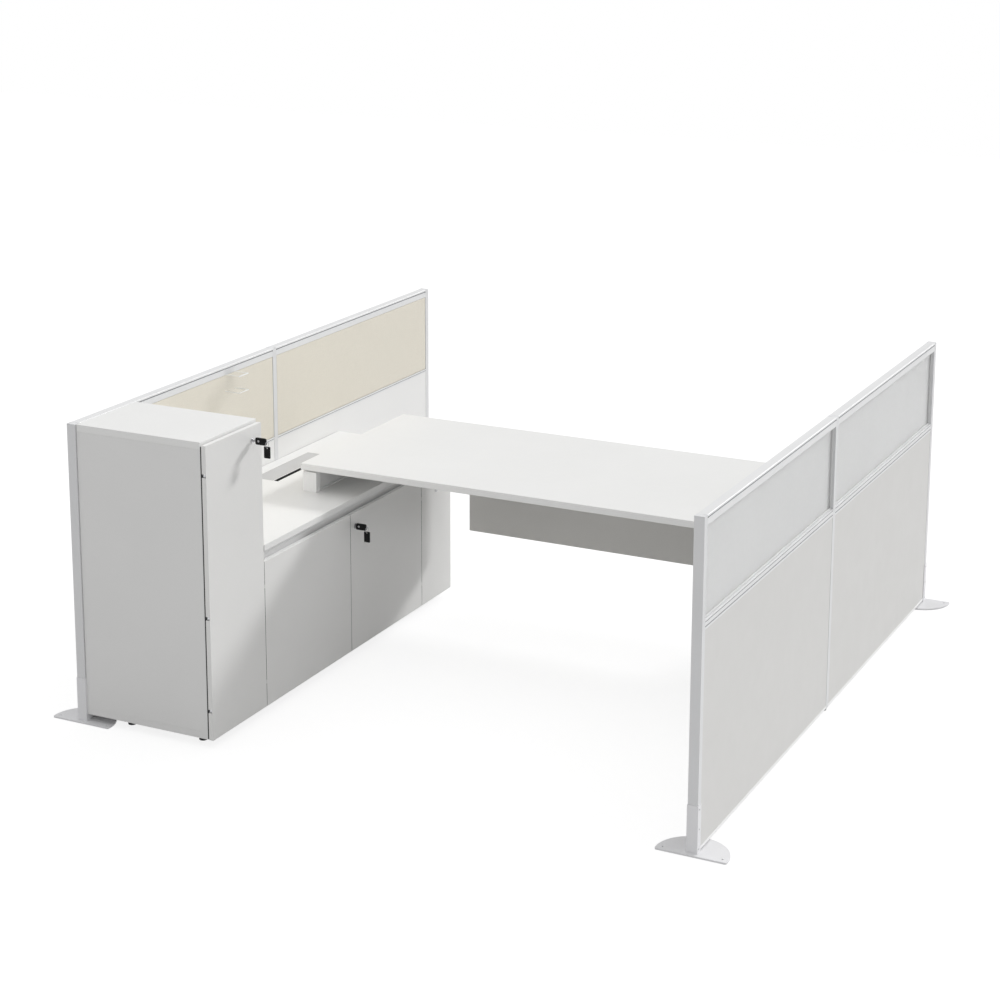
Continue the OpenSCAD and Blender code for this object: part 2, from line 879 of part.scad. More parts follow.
module lock_bore() {
    rod_x([-door_t - eps, 0, 0], lock_r + fit, door_t + 2 * eps);
}

tall_lock_y = ty1 - half_gap - tall_lock_inset;
right_lock_y = y_meet + half_gap + lock_inset;
end_lock_y = (y_part + y_end) / 2;

module tall_door() {
    color([0.84, 0.83, 0.82]) difference() {
        door_board(ty0, ty1 - half_gap, tall_door_top);
        for (z = tall_hinge_z) translate([pivot_x, tall_pivot_y, z]) hinge_pocket();
        translate([dx1, tall_lock_y, tall_lock_z]) lock_bore();
    }
}

module left_door() {
    color([0.75, 0.74, 0.73]) difference() {
        door_board(ty1 + half_gap, y_meet - half_gap, low_door_top);
        for (z = low_hinge_z) translate([pivot_x, left_pivot_y, z]) hinge_pocket();
    }
}

module right_door() {
    color([0.72, 0.71, 0.7]) difference() {
        door_board(y_meet + half_gap, y_part - half_gap, low_door_top);
        for (z = low_hinge_z) translate([pivot_x, right_pivot_y, z]) mirror([0, 1, 0]) hinge_pocket();
        translate([dx1, right_lock_y, low_lock_z]) lock_bore();
    }
}

module end_door() {
    color([0.8, 0.79, 0.78]) difference() {
        door_board(y_part + half_gap, y_end - half_gap, low_door_top);
        for (z = low_hinge_z) translate([pivot_x, end_pivot_y, z]) hinge_pocket();
        translate([dx1, end_lock_y, end_lock_z]) lock_bore();
    }
}

// Locks, drawn about the X axis with the door's outer face at x = 0
module lock_housing() {
    difference() {
        union() {
            rod_x([0, 0, 0], lock_r + lock_flange, lock_flange_t);
            rod_x([-lock_rear, 0, 0], lock_r, lock_rear + eps);
            rod_x([-door_t - nut_t, 0, 0], nut_r, nut_t);
        }
        rod_x([-lock_rear - eps, 0, 0], plug_r + fit, lock_rear + lock_flange_t + 2 * eps);
    }
}

// The plug with its keyway and its cam, the cam of the given reach turned by an angle from straight down
module lock_plug(angle, cam_reach) {
    difference() {
        rod_x([-plug_rear, 0, 0], plug_r, plug_rear + lock_flange_t + plug_face);
        block([-blade_l, -blade_t / 2 - fit, -blade_w / 2 - fit],
            [2 * lock_flange_t + plug_face, blade_t / 2 + fit, blade_w / 2 + fit]);
    }
    rotate([angle, 0, 0]) {
        rod_x([-plug_rear - cam_t, 0, 0], plug_r + plug_face, cam_t);
        block([-plug_rear - cam_t, -cam_w / 2, -cam_reach], [-plug_rear, cam_w / 2, 0]);
    }
}

// A flat plate outline from the origin, with round corners
module round_plate(w, h, r) {
    translate([r, 0]) square([w - 2 * r, h]);
    translate([0, r]) square([w, h - 2 * r]);
    for (x = [r, w - r], y = [r, h - r]) translate([x, y]) circle(r = r, $fn = round_fn);
}

// A key whose bow starts at a distance from the door's face and has a given length
module key(start, length) {
    end = start + length;
    block([-blade_l + seat, -blade_t / 2, -blade_w / 2], [start + eps, blade_t / 2, blade_w / 2]);
    rotate([quarter, 0, 0]) linear_extrude(bow_t, center = true)
        translate([start, -bow_w / 2]) round_plate(length, bow_w, bow_corner);
    rod_x([end - eps, 0, 0], stud_r, stud_l + eps);
    rod_x([end + stud_l - stud_head_t, 0, 0], stud_head_r, stud_head_t);
}

// The spare key on its ring, hanging from the stud at the end of a key's bow
module spare_key(end) {
    ring_z = stud_r + fit - ring_r + ring_wire_r;
    hole_z = ring_z - ring_r + ring_wire_r + fit - spare_hole_r;
    top_z = hole_z + spare_hole_r + spare_rim;
    translate([end + ring_off, 0, 0]) {
        translate([0, 0, ring_z]) rotate([0, quarter, 0]) rotate_extrude($fn = 2 * round_fn)
            translate([ring_r, 0]) circle(r = ring_wire_r, $fn = round_fn / 3);
        rotate([quarter, 0, 0]) linear_extrude(spare_t, center = true) difference() {
            translate([-spare_w / 2, top_z - spare_l]) round_plate(spare_w, spare_l, spare_corner);
            translate([0, hole_z]) circle(r = spare_hole_r, $fn = round_fn);
        }
    }
}

lock_tone = [0.8, 0.8, 0.82];
key_tone = [0.1, 0.1, 0.11];

module at_tall_lock() {
    translate([dx1, tall_lock_y, tall_lock_z]) children();
}

module at_right_lock() {
    translate([dx1, right_lock_y, low_lock_z]) children();
}

module at_end_lock() {
    translate([dx1, end_lock_y, end_lock_z]) children();
}

module tall_lock() {
    color(lock_tone) at_tall_lock() lock_housing();
}

module right_lock() {
    color(lock_tone) at_right_lock() lock_housing();
}

module end_lock() {
    color(lock_tone) at_end_lock() lock_housing();
}

module tall_plug() {
    color(lock_tone) at_tall_lock() lock_plug(0, cam_l);
}

module right_plug() {
    color(lock_tone) at_right_lock() lock_plug(quarter, cam_l);
}

module end_plug() {
    color(lock_tone) at_end_lock() lock_plug(quarter, cam_l + end_lock_drop - low_lock_drop);
}

module tall_key() {
    color(key_tone) at_tall_lock() key(tall_bow_start, tall_bow_l);
}

module right_key() {
    color(key_tone) at_right_lock() key(low_bow_start, low_bow_l);
}

module tall_spare_key() {
    color(key_tone) at_tall_lock() spare_key(tall_bow_start + tall_bow_l);
}

module right_spare_key() {
    color(key_tone) at_right_lock() spare_key(low_bow_start + low_bow_l);
}

// Cable flap with its pins, the brush strip beside it and the trough below
module cable_flap() {
    color([0.79, 0.79, 0.78]) {
        block([flap_x0, flap_y0, low_h - flap_t], [flap_x1, flap_y1, low_h]);
        rod_y([flap_axis_x, flap_y0 - flap_pin_l, flap_axis_z], flap_pin_r, flap_l + 2 * flap_pin_l);
    }
}

module cable_brush() {
    color([0.08, 0.08, 0.08]) {
        block([slot_x1 - brush_base, flap_y0 - flap_edge, low_h - brush_h],
            [slot_x1, flap_y1 + flap_edge, low_h - brush_drop]);
        block([flap_x1 + seat, flap_y0 - flap_edge, low_h - brush_drop - brush_t],
            [slot_x1, flap_y1 + flap_edge, low_h - brush_drop]);
    }
}

module cable_trough() {
    x0 = flap_x0 - flap_edge;
    y0 = flap_y0 - flap_edge;
    y1 = flap_y1 + flap_edge;
    // The ledges start clear of the flap's turning edge
    ledge_x0 = flap_axis_x + 2 * flap_t;
    top = low_h - flap_t - seat;
    color([0.7, 0.71, 0.72]) difference() {
        union() {
            block([x0 - trough_lip, y0 - trough_lip, low_under - trough_wall],
                [slot_x1 + trough_lip, y1 + trough_lip, low_under]);
            block([x0, y0, low_under - trough_h], [slot_x1, y1, low_under]);
            block([ledge_x0, y0, low_under - eps], [flap_x1, y0 + trough_ledge_t, top]);
            block([ledge_x0, y1 - trough_ledge_t, low_under - eps], [flap_x1, y1, top]);
        }
        block([x0 + trough_wall, y0 + trough_ledge_t, low_under - trough_h + trough_wall],
            [slot_x1 - trough_wall, y1 - trough_ledge_t, low_under + eps]);
        block([flap_x1, y0 + trough_wall, low_under - eps], [slot_x1 + eps, y1 - trough_wall, low_h]);
    }
}

// Desk
leg_y0 = desk_y0 + leg_front_in;
leg_y1 = desk_y1 - leg_rear_in;

module desk_top() {
    color([0.93, 0.93, 0.92]) block([desk_x0, desk_y0, desk_under], [desk_x1, desk_y1, desk_h]);
}

// A beam with two lips along its right side, and a wider block at each end that stops short of the desk
module desk_riser() {
    x0 = desk_x0 + riser_set_x;
    x1 = x0 + riser_w;
    y0 = desk_y0 + riser_set_y;
    y1 = desk_y1 - riser_set_y;
    bx0 = x0 + riser_in_left;
    bx1 = x1 - riser_in_right;
    color([0.87, 0.87, 0.86]) {
        for (y = [y0, y1 - riser_cap_l])
            block([x0, y, low_h], [x1, y + riser_cap_l, desk_under - riser_cap_drop]);
        block([bx0, y0 + riser_cap_l - eps, low_h], [bx1, y1 - riser_cap_l + eps, desk_under]);
        for (z = [low_h, desk_under - riser_lip_t])
            block([bx1 - eps, y0 + riser_cap_l - eps, z],
                [bx1 + riser_lip, y1 - riser_cap_l + eps, z + riser_lip_t]);
    }
}

module modesty_panel() {
    color([0.62, 0.6, 0.58])
        block([desk_x0 + modesty_left, modesty_y0, desk_under - modesty_h], [leg_x0, modesty_y1, desk_under]);
}

// An angle with one leg along +X below z = 0 and one leg down along x = 0, with two screw heads
module angle_bracket() {
    block([0, -bracket_w / 2, -bracket_t], [bracket_l, bracket_w / 2, 0]);
    block([0, -bracket_w / 2, -bracket_l], [bracket_t, bracket_w / 2, 0]);
    for (s = bracket_screw_shares)
        rod_z([s * bracket_l, 0, -bracket_t - arm_screw_t], arm_screw_r, arm_screw_t + eps);
}

// The angles between desk top and modesty panel, and a spacer from the leg frame to the right screen's post
module desk_brackets() {
    modesty_x0 = desk_x0 + modesty_left;
    color([0.72, 0.73, 0.75]) {
        for (s = bracket_shares)
            translate([modesty_x0 + s * (leg_x0 - modesty_x0), modesty_y0, desk_under]) rotate(-quarter)
                angle_bracket();
        block([leg_x1, -bracket_w / 2, desk_under - leg_w], [xr, bracket_w / 2, desk_under - eps]);
    }
}

// Two uprights and a top bar, taken in from the leg frame's outside by a distance
module leg_bars(inset) {
    for (y = [leg_y0, leg_y1 - leg_w])
        block([leg_x0 + inset, y + inset, leg_lift + inset],
            [leg_x1 - inset, y + leg_w - inset, desk_under - inset]);
    block([leg_x0 + inset, leg_y0 + inset, desk_under - leg_w + inset],
        [leg_x1 - inset, leg_y1 - inset, desk_under - inset]);
}

// A leg frame of square tube, closed at its feet and hollow all through
module leg_frame() {
    color([0.78, 0.79, 0.8]) difference() {
        leg_bars(0);
        leg_bars(leg_wall);
    }
}

// An open box with a back plate that hooks into the slot of the top rail
module pen_pot() {
    y1 = pot_y0 + pot_w;
    z0 = pot_top - pot_h;
    lip_top = slot_z + rail_slot_h - seat;
    color([0.88, 0.9, 0.9, 0.5]) {
        difference() {
            block([xl, pot_y0, z0], [xl + pot_w, y1, pot_top]);
            block([xl + pot_wall, pot_y0 + pot_wall, z0 + pot_floor],
                [xl + pot_w - pot_wall, y1 - pot_wall, pot_top + eps]);
        }
        block([xl, pot_y0, pot_top - eps], [xl + pot_wall, y1, lip_top]);
        block([xl - pot_lip_in, pot_y0, lip_top - pot_lip_t], [xl + pot_wall, y1, lip_top]);
    }
}

near_posts();
mid_posts();
far_posts();
top_rails();
mid_rails();
bottom_rails();
post_caps();
fabric_panel_near();
fabric_panel_far();
glass_panel_near();
glass_panel_far();
left_tile_near();
left_tile_far();
right_tile_near();
right_tile_far();
screen_feet();
foot_sleeves();
sleeve_screws();
mid_glides();
tall_top();
tall_bottom();
tall_side_near();
tall_side_far();
tall_back();
tall_shelves();
low_top();
low_bottom();
low_side_near();
low_partition();
low_side_far();
low_back();
low_shelves();
shelf_pins();
catch_rails();
levellers();
tall_door();
left_door();
right_door();
end_door();
hinge_arms();
hinge_pins();
tall_lock();
right_lock();
end_lock();
tall_plug();
right_plug();
end_plug();
tall_key();
right_key();
tall_spare_key();
right_spare_key();
cable_flap();
cable_brush();
cable_trough();
desk_top();
desk_riser();
modesty_panel();
desk_brackets();
leg_frame();
pen_pot();
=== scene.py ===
import bpy, bmesh, json, math
from mathutils import Matrix, Vector


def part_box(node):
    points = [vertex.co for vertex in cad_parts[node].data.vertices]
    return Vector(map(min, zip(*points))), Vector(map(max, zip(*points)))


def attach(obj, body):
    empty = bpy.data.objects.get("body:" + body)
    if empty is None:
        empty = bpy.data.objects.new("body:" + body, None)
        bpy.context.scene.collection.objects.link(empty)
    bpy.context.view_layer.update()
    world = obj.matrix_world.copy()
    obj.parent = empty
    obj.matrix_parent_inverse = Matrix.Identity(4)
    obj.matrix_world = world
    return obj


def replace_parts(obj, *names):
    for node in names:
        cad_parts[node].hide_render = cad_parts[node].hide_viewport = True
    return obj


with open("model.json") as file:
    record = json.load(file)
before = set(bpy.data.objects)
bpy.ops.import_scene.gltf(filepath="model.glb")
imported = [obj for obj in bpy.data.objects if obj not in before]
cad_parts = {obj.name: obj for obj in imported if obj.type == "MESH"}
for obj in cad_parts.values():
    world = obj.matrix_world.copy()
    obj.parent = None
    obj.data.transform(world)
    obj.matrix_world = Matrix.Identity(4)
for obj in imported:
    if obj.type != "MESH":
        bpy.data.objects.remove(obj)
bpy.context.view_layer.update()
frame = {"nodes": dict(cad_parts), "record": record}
NODES = frame["nodes"]
QUARTER_TURN = math.pi / 2

# Camera: where it stands, the directions of its picture, and its lens
EYE = (3.39366, -7.16355, 3.09228)
RIGHT = (0.8964572007, 0.4431232994, 0.0024957659)
UP = (-0.0975799208, 0.1919081735, 0.9765497489)
FORWARD = (-0.4322529889, 0.8756785908, -0.2152774005)
SENSOR_WIDTH = 36
LENS = 78.4926
SHIFT_X, SHIFT_Y = -0.00074, -0.18435
FAR_CLIP = 200


def add_camera():
    data = bpy.data.cameras.new("camera")
    data.sensor_width = SENSOR_WIDTH
    data.lens = LENS
    data.shift_x = SHIFT_X
    data.shift_y = SHIFT_Y
    data.clip_end = FAR_CLIP
    obj = bpy.data.objects.new("camera", data)
    bpy.context.scene.collection.objects.link(obj)
    rows = [(RIGHT[i], UP[i], -FORWARD[i], EYE[i]) for i in range(3)]
    obj.matrix_world = Matrix(rows + [(0, 0, 0, 1)])
    bpy.context.scene.camera = obj


add_camera()

# Materials. Patterns lie in object space, and their scales are per metre.
# Sockets of a colour Mix node: its factor, its two colours and its result
MIX_FACTOR, MIX_A, MIX_B, MIX_RESULT = 0, 6, 7, 2
# The stretch in which most of a noise pattern's values lie
NOISE_LOW, NOISE_HIGH = 0.3, 0.7


def tint(color, share):
    return tuple(min(1.0, c * share) for c in color)


class Finish:
    """A small builder round one Principled material."""

    def __init__(self, name, color, rough, metallic=0.0, specular=None, ior=None):
        self.material = bpy.data.materials.new(name)
        self.material.use_nodes = True
        self.tree = self.material.node_tree
        self.shader = self.tree.nodes["Principled BSDF"]
        self.place = self.tree.nodes.new("ShaderNodeTexCoord").outputs["Object"]
        self.color = color
        self.rough = rough
        self.set("Base Color", (*color, 1))
        self.set("Roughness", rough)
        self.set("Metallic", metallic)
        if specular is not None:
            self.set("Specular IOR Level", specular)
        if ior is not None:
            self.set("IOR", ior)

    def set(self, socket, value):
        """A value that is the same all over the surface."""
        self.shader.inputs[socket].default_value = value

    def node(self, kind, **values):
        """A new node: a name that starts with _ is a property, any other is an input socket."""
        made = self.tree.nodes.new(kind)
        for name, value in values.items():
            if name.startswith("_"):
                setattr(made, name[1:], value)
            else:
                made.inputs[name.replace("_", " ")].default_value = value
        return made

    def link(self, output, socket):
        self.tree.links.new(output, socket)

    def stretched(self, scale):
        made = self.node("ShaderNodeMapping", Scale=scale)
        self.link(self.place, made.inputs["Vector"])
        return made.outputs["Vector"]

    def noise(self, scale, detail=2.0, rough=0.5, stretch=None):
        made = self.node("ShaderNodeTexNoise", Scale=scale, Detail=detail, Roughness=rough)
        self.link(self.stretched(stretch) if stretch else self.place, made.inputs["Vector"])
        return made.outputs["Fac"]

    def bands(self, direction, scale, distortion, detail, detail_scale):
        made = self.node("ShaderNodeTexWave", _wave_type="BANDS", _bands_direction=direction, Scale=scale,
                         Distortion=distortion, Detail=detail, Detail_Scale=detail_scale)
        self.link(self.place, made.inputs["Vector"])
        return made.outputs["Fac"]

    def math(self, operation, *values):
        made = self.node("ShaderNodeMath", _operation=operation)
        for socket, value in zip(made.inputs, values):
            if isinstance(value, (int, float)):
                socket.default_value = value
            else:
                self.link(value, socket)
        return made.outputs[0]

    def weigh(self, a, a_share, b, b_share):
        """The sum of two patterns, each times its share."""
        return self.math("ADD", self.math("MULTIPLY", a, a_share), self.math("MULTIPLY", b, b_share))

    def remap(self, pattern, low, high, to_low, to_high):
        made = self.node("ShaderNodeMapRange", From_Min=low, From_Max=high, To_Min=to_low, To_Max=to_high)
        self.link(pattern, made.inputs["Value"])
        return made.outputs["Result"]

    def vary_color(self, pattern, dark, light, low=NOISE_LOW, high=NOISE_HIGH):
        """Runs the colour from 'dark' to 'light' times itself as the pattern goes from low to high."""
        mix = self.node("ShaderNodeMix", _data_type="RGBA")
        mix.inputs[MIX_A].default_value = (*tint(self.color, dark), 1)
        mix.inputs[MIX_B].default_value = (*tint(self.color, light), 1)
        self.link(self.remap(pattern, low, high, 0, 1), mix.inputs[MIX_FACTOR])
        self.link(mix.outputs[MIX_RESULT], self.shader.inputs["Base Color"])

    def vary_rough(self, pattern, down, up, low=NOISE_LOW, high=NOISE_HIGH):
        """Runs the roughness from 'down' under to 'up' over its own value in the same way."""
        spread = self.remap(pattern, low, high, self.rough - down, self.rough + up)
        self.link(spread, self.shader.inputs["Roughness"])

    def bump(self, height, strength, distance):
        """Adds a relief to those that the surface already has."""
        made = self.node("ShaderNodeBump", Strength=strength, Distance=distance)
        self.link(height, made.inputs["Height"])
        normal = self.shader.inputs["Normal"]
        if normal.is_linked:
            self.link(normal.links[0].from_socket, made.inputs["Normal"])
        self.link(made.outputs["Normal"], normal)


def laminate(name, color, rough=0.42, grain=0.018):
    """Melamine faced board: an even tone with a faint cloud, a fine pearl grain and a pearl texture."""
    m = Finish(name, color, rough)
    cloud = m.noise(scale=2.2, detail=3, rough=0.55)
    pearl = m.noise(scale=420, rough=0.6)
    m.vary_color(m.weigh(cloud, 0.55, pearl, 0.45), dark=1 - grain, light=1 + grain, low=0.36, high=0.64)
    m.vary_rough(m.noise(scale=35, detail=4, rough=0.6), down=0.05, up=0.07)
    m.bump(m.noise(scale=1300), strength=0.16, distance=0.00012)
    m.bump(m.noise(scale=260), strength=0.10, distance=0.00015)
    return m.material


def powder(name, color, rough=0.4, peel=0.25, vary=0.033):
    """Powder coat: orange peel, a fine speckle and a little handling wear in the gloss."""
    m = Finish(name, color, rough)
    speck = m.noise(scale=2600, detail=1)
    cloud = m.noise(scale=5, detail=3)
    m.vary_color(m.weigh(speck, 0.6, cloud, 0.4), dark=1 - vary, light=1 + vary, low=0.35, high=0.65)
    m.vary_rough(m.noise(scale=14, detail=5, rough=0.65), down=0.06, up=0.09)
    m.bump(m.noise(scale=750, rough=0.45), strength=peel, distance=0.0001)
    return m.material


def moulded(name, color, rough=0.45, grain=900, depth=0.3, specular=0.5):
    """Moulded plastic with a fine spark eroded grain."""
    m = Finish(name, color, rough, specular=specular)
    m.vary_color(m.noise(scale=60, detail=3, rough=0.6), dark=0.86, light=1.2)
    m.vary_rough(m.noise(scale=220, detail=3, rough=0.6), down=0.08, up=0.1)
    m.bump(m.noise(scale=grain, rough=0.55), strength=depth, distance=0.00015)
    return m.material


def plated(name, color, rough):
    """Plated steel with a fine grain and faint stains."""
    m = Finish(name, color, rough, metallic=1.0)
    grain = m.noise(scale=700, detail=3, rough=0.6)
    m.vary_color(m.noise(scale=30, detail=4, rough=0.6), dark=0.93, light=1.03)
    m.vary_rough(grain, down=0.07, up=0.1)
    m.bump(grain, strength=0.08, distance=0.00008)
    return m.material


def cloth(name, color):
    """A plain woven melange cloth: crossing threads, uneven yarn and a soft fuzz."""
    m = Finish(name, color, rough=0.92, specular=0.2)
    m.set("Sheen Weight", 0.25)
    m.set("Sheen Roughness", 0.5)
    m.set("Sheen Tint", (1, 0.98, 0.94, 1))
    warp = m.bands("Y", scale=180, distortion=1.2, detail=2, detail_scale=1.5)
    weft = m.bands("Z", scale=180, distortion=1.2, detail=2, detail_scale=1.5)
    weave = m.math("MAXIMUM", warp, weft)
    level_yarn = m.noise(scale=160, detail=3, rough=0.7, stretch=(1, 0.15, 2.4))
    upright_yarn = m.noise(scale=160, detail=3, rough=0.7, stretch=(1, 2.4, 0.15))
    yarn = m.weigh(level_yarn, 0.5, upright_yarn, 0.5)
    fleck = m.noise(scale=420, rough=0.6)
    tone = m.weigh(m.weigh(yarn, 0.45, fleck, 0.55), 0.8, weave, 0.2)
    m.vary_color(tone, dark=0.90, light=1.08, low=0.36, high=0.72)
    m.bump(weave, strength=0.55, distance=0.0004)
    m.bump(yarn, strength=0.3, distance=0.0004)
    return m.material


def frosted(name, color):
    """Satin etched glass: light comes through scattered, with a white etched face."""
    m = Finish(name, color, rough=0.42, specular=0.5, ior=1.5)
    m.set("Transmission Weight", 0.35)
    m.vary_color(m.noise(scale=3, detail=3), dark=0.985, light=1.015)
    m.vary_rough(m.noise(scale=60, detail=4, rough=0.6), down=0.06, up=0.08)
    m.bump(m.noise(scale=2000), strength=0.12, distance=0.0001)
    return m.material


def acrylic(name, color):
    """Thin clear acrylic with faint waves and smears."""
    m = Finish(name, color, rough=0.03, specular=0.6, ior=1.1)
    m.set("Transmission Weight", 1.0)
    m.set("Alpha", 0.16)
    m.vary_color(m.noise(scale=40, detail=3), dark=0.97, light=1)
    m.vary_rough(m.noise(scale=90, detail=4, rough=0.6), down=0, up=0.09, low=0.35)
    m.bump(m.noise(scale=45), strength=0.05, distance=0.0004)
    return m.material


# Each finish with its kind, its colour and what sets it apart from others of its kind
FINISHES = {
    "post_metal": (powder, (0.73, 0.733, 0.742), {"rough": 0.38}),
    "rail_metal": (powder, (0.78, 0.783, 0.788), {"rough": 0.36}),
    "foot_metal": (powder, (0.80, 0.80, 0.815), {"rough": 0.38}),
    "cap_plastic": (moulded, (0.73, 0.733, 0.742), {"rough": 0.42, "grain": 700, "depth": 0.2}),
    "panel_fabric": (cloth, (0.785, 0.745, 0.65), {}),
    "frosted_glass": (frosted, (0.85, 0.855, 0.852), {}),
    "tile_white": (powder, (0.84, 0.838, 0.83), {"rough": 0.45, "peel": 0.18, "vary": 0.010}),
    "tile_grey": (powder, (0.68, 0.675, 0.662), {"rough": 0.5, "peel": 0.18, "vary": 0.010}),
    "bead": (powder, (0.69, 0.695, 0.695), {"rough": 0.45, "peel": 0.1, "vary": 0.008}),
    # trim: on the pen pot's edges this pale finish is painted highlight
    "trim": (powder, (0.92, 0.92, 0.92), {"rough": 0.36}),
    # band: a pale copy of the laminate, for painted highlights on lit edges and painted light on the desk's
    # near edge
    "band": (laminate, (0.91, 0.91, 0.90), {"rough": 0.38}),
    "screw_steel": (plated, (0.62, 0.62, 0.63), {"rough": 0.3}),
    # black_plastic: the real black parts, and also painted shade in the gap strips
    "black_plastic": (moulded, (0.018, 0.018, 0.02), {}),
    "cabinet_board": (laminate, (0.78, 0.778, 0.77), {}),
    "inner_board": (laminate, (0.76, 0.758, 0.75), {"rough": 0.5}),
    "top_board": (laminate, (0.83, 0.83, 0.82), {"rough": 0.4}),
    "door_board": (laminate, (0.80, 0.797, 0.785), {}),
    "hinge_steel": (plated, (0.66, 0.67, 0.69), {"rough": 0.28}),
    "lock_metal": (plated, (0.55, 0.55, 0.56), {"rough": 0.3}),
    "key_plastic": (moulded, (0.004, 0.004, 0.0045), {"grain": 1200, "depth": 0.2, "specular": 0.25}),
    "flap_metal": (powder, (0.55, 0.55, 0.55), {"rough": 0.42}),
    "brush_black": (moulded, (0.012, 0.012, 0.012), {"rough": 0.7, "grain": 1500, "depth": 0.4}),
    "riser_metal": (powder, (0.97, 0.97, 0.965), {}),
    "modesty_board": (laminate, (0.70, 0.69, 0.665), {"rough": 0.5, "grain": 0.025}),
    "leg_metal": (powder, (0.71, 0.715, 0.74), {"rough": 0.38}),
    "clear_plastic": (acrylic, (0.99, 0.995, 0.995), {}),
    # gasket_grey: the slot gaskets' grey, dark also as painted shade in the slots
    "gasket_grey": (moulded, (0.24, 0.245, 0.26), {"rough": 0.6, "grain": 1200, "depth": 0.2}),
    # dark_recess: near black, painted shade in slot ends and screw recesses
    "dark_recess": (moulded, (0.02, 0.02, 0.022), {"rough": 0.8, "depth": 0.2}),
}
MATS = {name: kind(name, color, **values) for name, (kind, color, values) in FINISHES.items()}

slot_of = {part["node"]: part["material_slot"] for part in frame["record"]["subparts"]}
for name, obj in NODES.items():
    obj.data.materials.clear()
    obj.data.materials.append(MATS[slot_of[name]])
# these rails show as a pale line over the low doors
NODES["catch_rails"].data.materials[0] = MATS["trim"]

# Rounded edges of the CAD nodes, by the width of the rounding
EDGE_WIDTHS = [
    (0.0009, ["tall_top", "tall_bottom", "tall_side_near", "tall_side_far", "tall_back", "tall_shelves",
              "low_top", "low_bottom", "low_side_near", "low_partition", "low_side_far", "low_back",
              "low_shelves", "desk_top", "modesty_panel", "tall_door", "left_door", "right_door",
              "end_door"]),
    (0.0007, ["near_posts", "mid_posts", "far_posts", "foot_sleeves"]),
    (0.0004, ["top_rails", "mid_rails", "catch_rails", "hinge_arms", "desk_brackets", "cable_trough"]),
    (0.0010, ["screen_feet", "post_caps", "desk_riser", "leg_frame"]),
    (0.0006, ["left_tile_near", "left_tile_far", "right_tile_near", "right_tile_far", "cable_flap",
              "pen_pot"]),
]
WELD_REACH = 1e-6
ROUND_STEPS = 2
SHARP_ANGLE = math.radians(35)


def soften(obj, width):
    """Joins the split vertices and rounds the sharp edges of a CAD node, as an edge band or a casting has."""
    weld = obj.modifiers.new("weld", "WELD")
    weld.merge_threshold = WELD_REACH
    bevel = obj.modifiers.new("round", "BEVEL")
    bevel.width = width
    bevel.segments = ROUND_STEPS
    bevel.limit_method = "ANGLE"
    bevel.angle_limit = SHARP_ANGLE
    bevel.use_clamp_overlap = True
    bevel.harden_normals = False


for width, names in EDGE_WIDTHS:
    for name in names:
        soften(NODES[name], width)

# Mesh helpers
BEVEL_PROFILE = 0.6
# Turns that lay the Z axis along each axis
AXES = {
    "x": Matrix.Rotation(QUARTER_TURN, 4, "Y"),
    "y": Matrix.Rotation(-QUARTER_TURN, 4, "X"),
    "z": Matrix(),
}
SCREW_SIDES = 20
# A screw's pan head, from its shoulder to its crown, as shares of its height and radius
PAN_SHARES = ((0, 1), (0.45, 0.97), (0.8, 0.82), (1, 0.5))
# Half the width and half the thickness of a cross recess's arm, as shares of its reach and height
CROSS_WIDTH_SHARE, CROSS_DEPTH_SHARE = 0.22, 0.05


def piece(name, bm, finish, body="workstation", smooth=False):
    """Makes an object of a mesh, whose one slot holds its finish."""
    mesh = bpy.data.meshes.new(name)
    bm.to_mesh(mesh)
    bm.free()
    obj = bpy.data.objects.new(name, mesh)
    bpy.context.scene.collection.objects.link(obj)
    mesh.materials.append(MATS[finish])
    for polygon in mesh.polygons:
        polygon.use_smooth = smooth
    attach(obj, body)
    return obj


def add_box(bm, lo, hi, rounding=0.0, steps=2):
    lo, hi = Vector(lo), Vector(hi)
    made = bmesh.ops.create_cube(bm, size=1.0)["verts"]
    size, middle = hi - lo, (hi + lo) / 2
    for v in made:
        v.co = Vector((v.co.x * size.x, v.co.y * size.y, v.co.z * size.z)) + middle
    if rounding:
        # each edge once, and in the same order in every run
        edges = dict.fromkeys(e for v in made for e in v.link_edges)
        bmesh.ops.bevel(bm, geom=list(edges), offset=rounding, segments=steps, profile=BEVEL_PROFILE,
                        affect="EDGES")


def join_rings(bm, a, b):
    """A band of faces between two rings of as many points."""
    n = len(a)
    for i in range(n):
        j = (i + 1) % n
        bm.faces.new((a[i], a[j], b[j], b[i]))


def add_turned(bm, at, axis, profile, sides=32):
    """A turned form: profile is (distance along the axis, radius) pairs from the point 'at'."""
    turn = Matrix.Translation(at) @ AXES[axis]
    rings = []
    for h, r in profile:
        angles = [math.tau * i / sides for i in range(sides)]
        rings.append([bm.verts.new(turn @ Vector((r * math.cos(a), r * math.sin(a), h))) for a in angles])
    for a, b in zip(rings, rings[1:]):
        join_rings(bm, a, b)
    bm.faces.new(list(reversed(rings[0])))
    bm.faces.new(rings[-1])


def shrunk(points, by, inward):
    """A closed outline moved by a distance to its left, or to its right where inward is -1."""
    n = len(points)
    out = []
    for i in range(n):
        before, after = Vector(points[i - 1]), Vector(points[(i + 1) % n])
        along = (after - before).normalized()
        out.append((points[i][0] - inward * along.y * by, points[i][1] + inward * along.x * by))
    return out


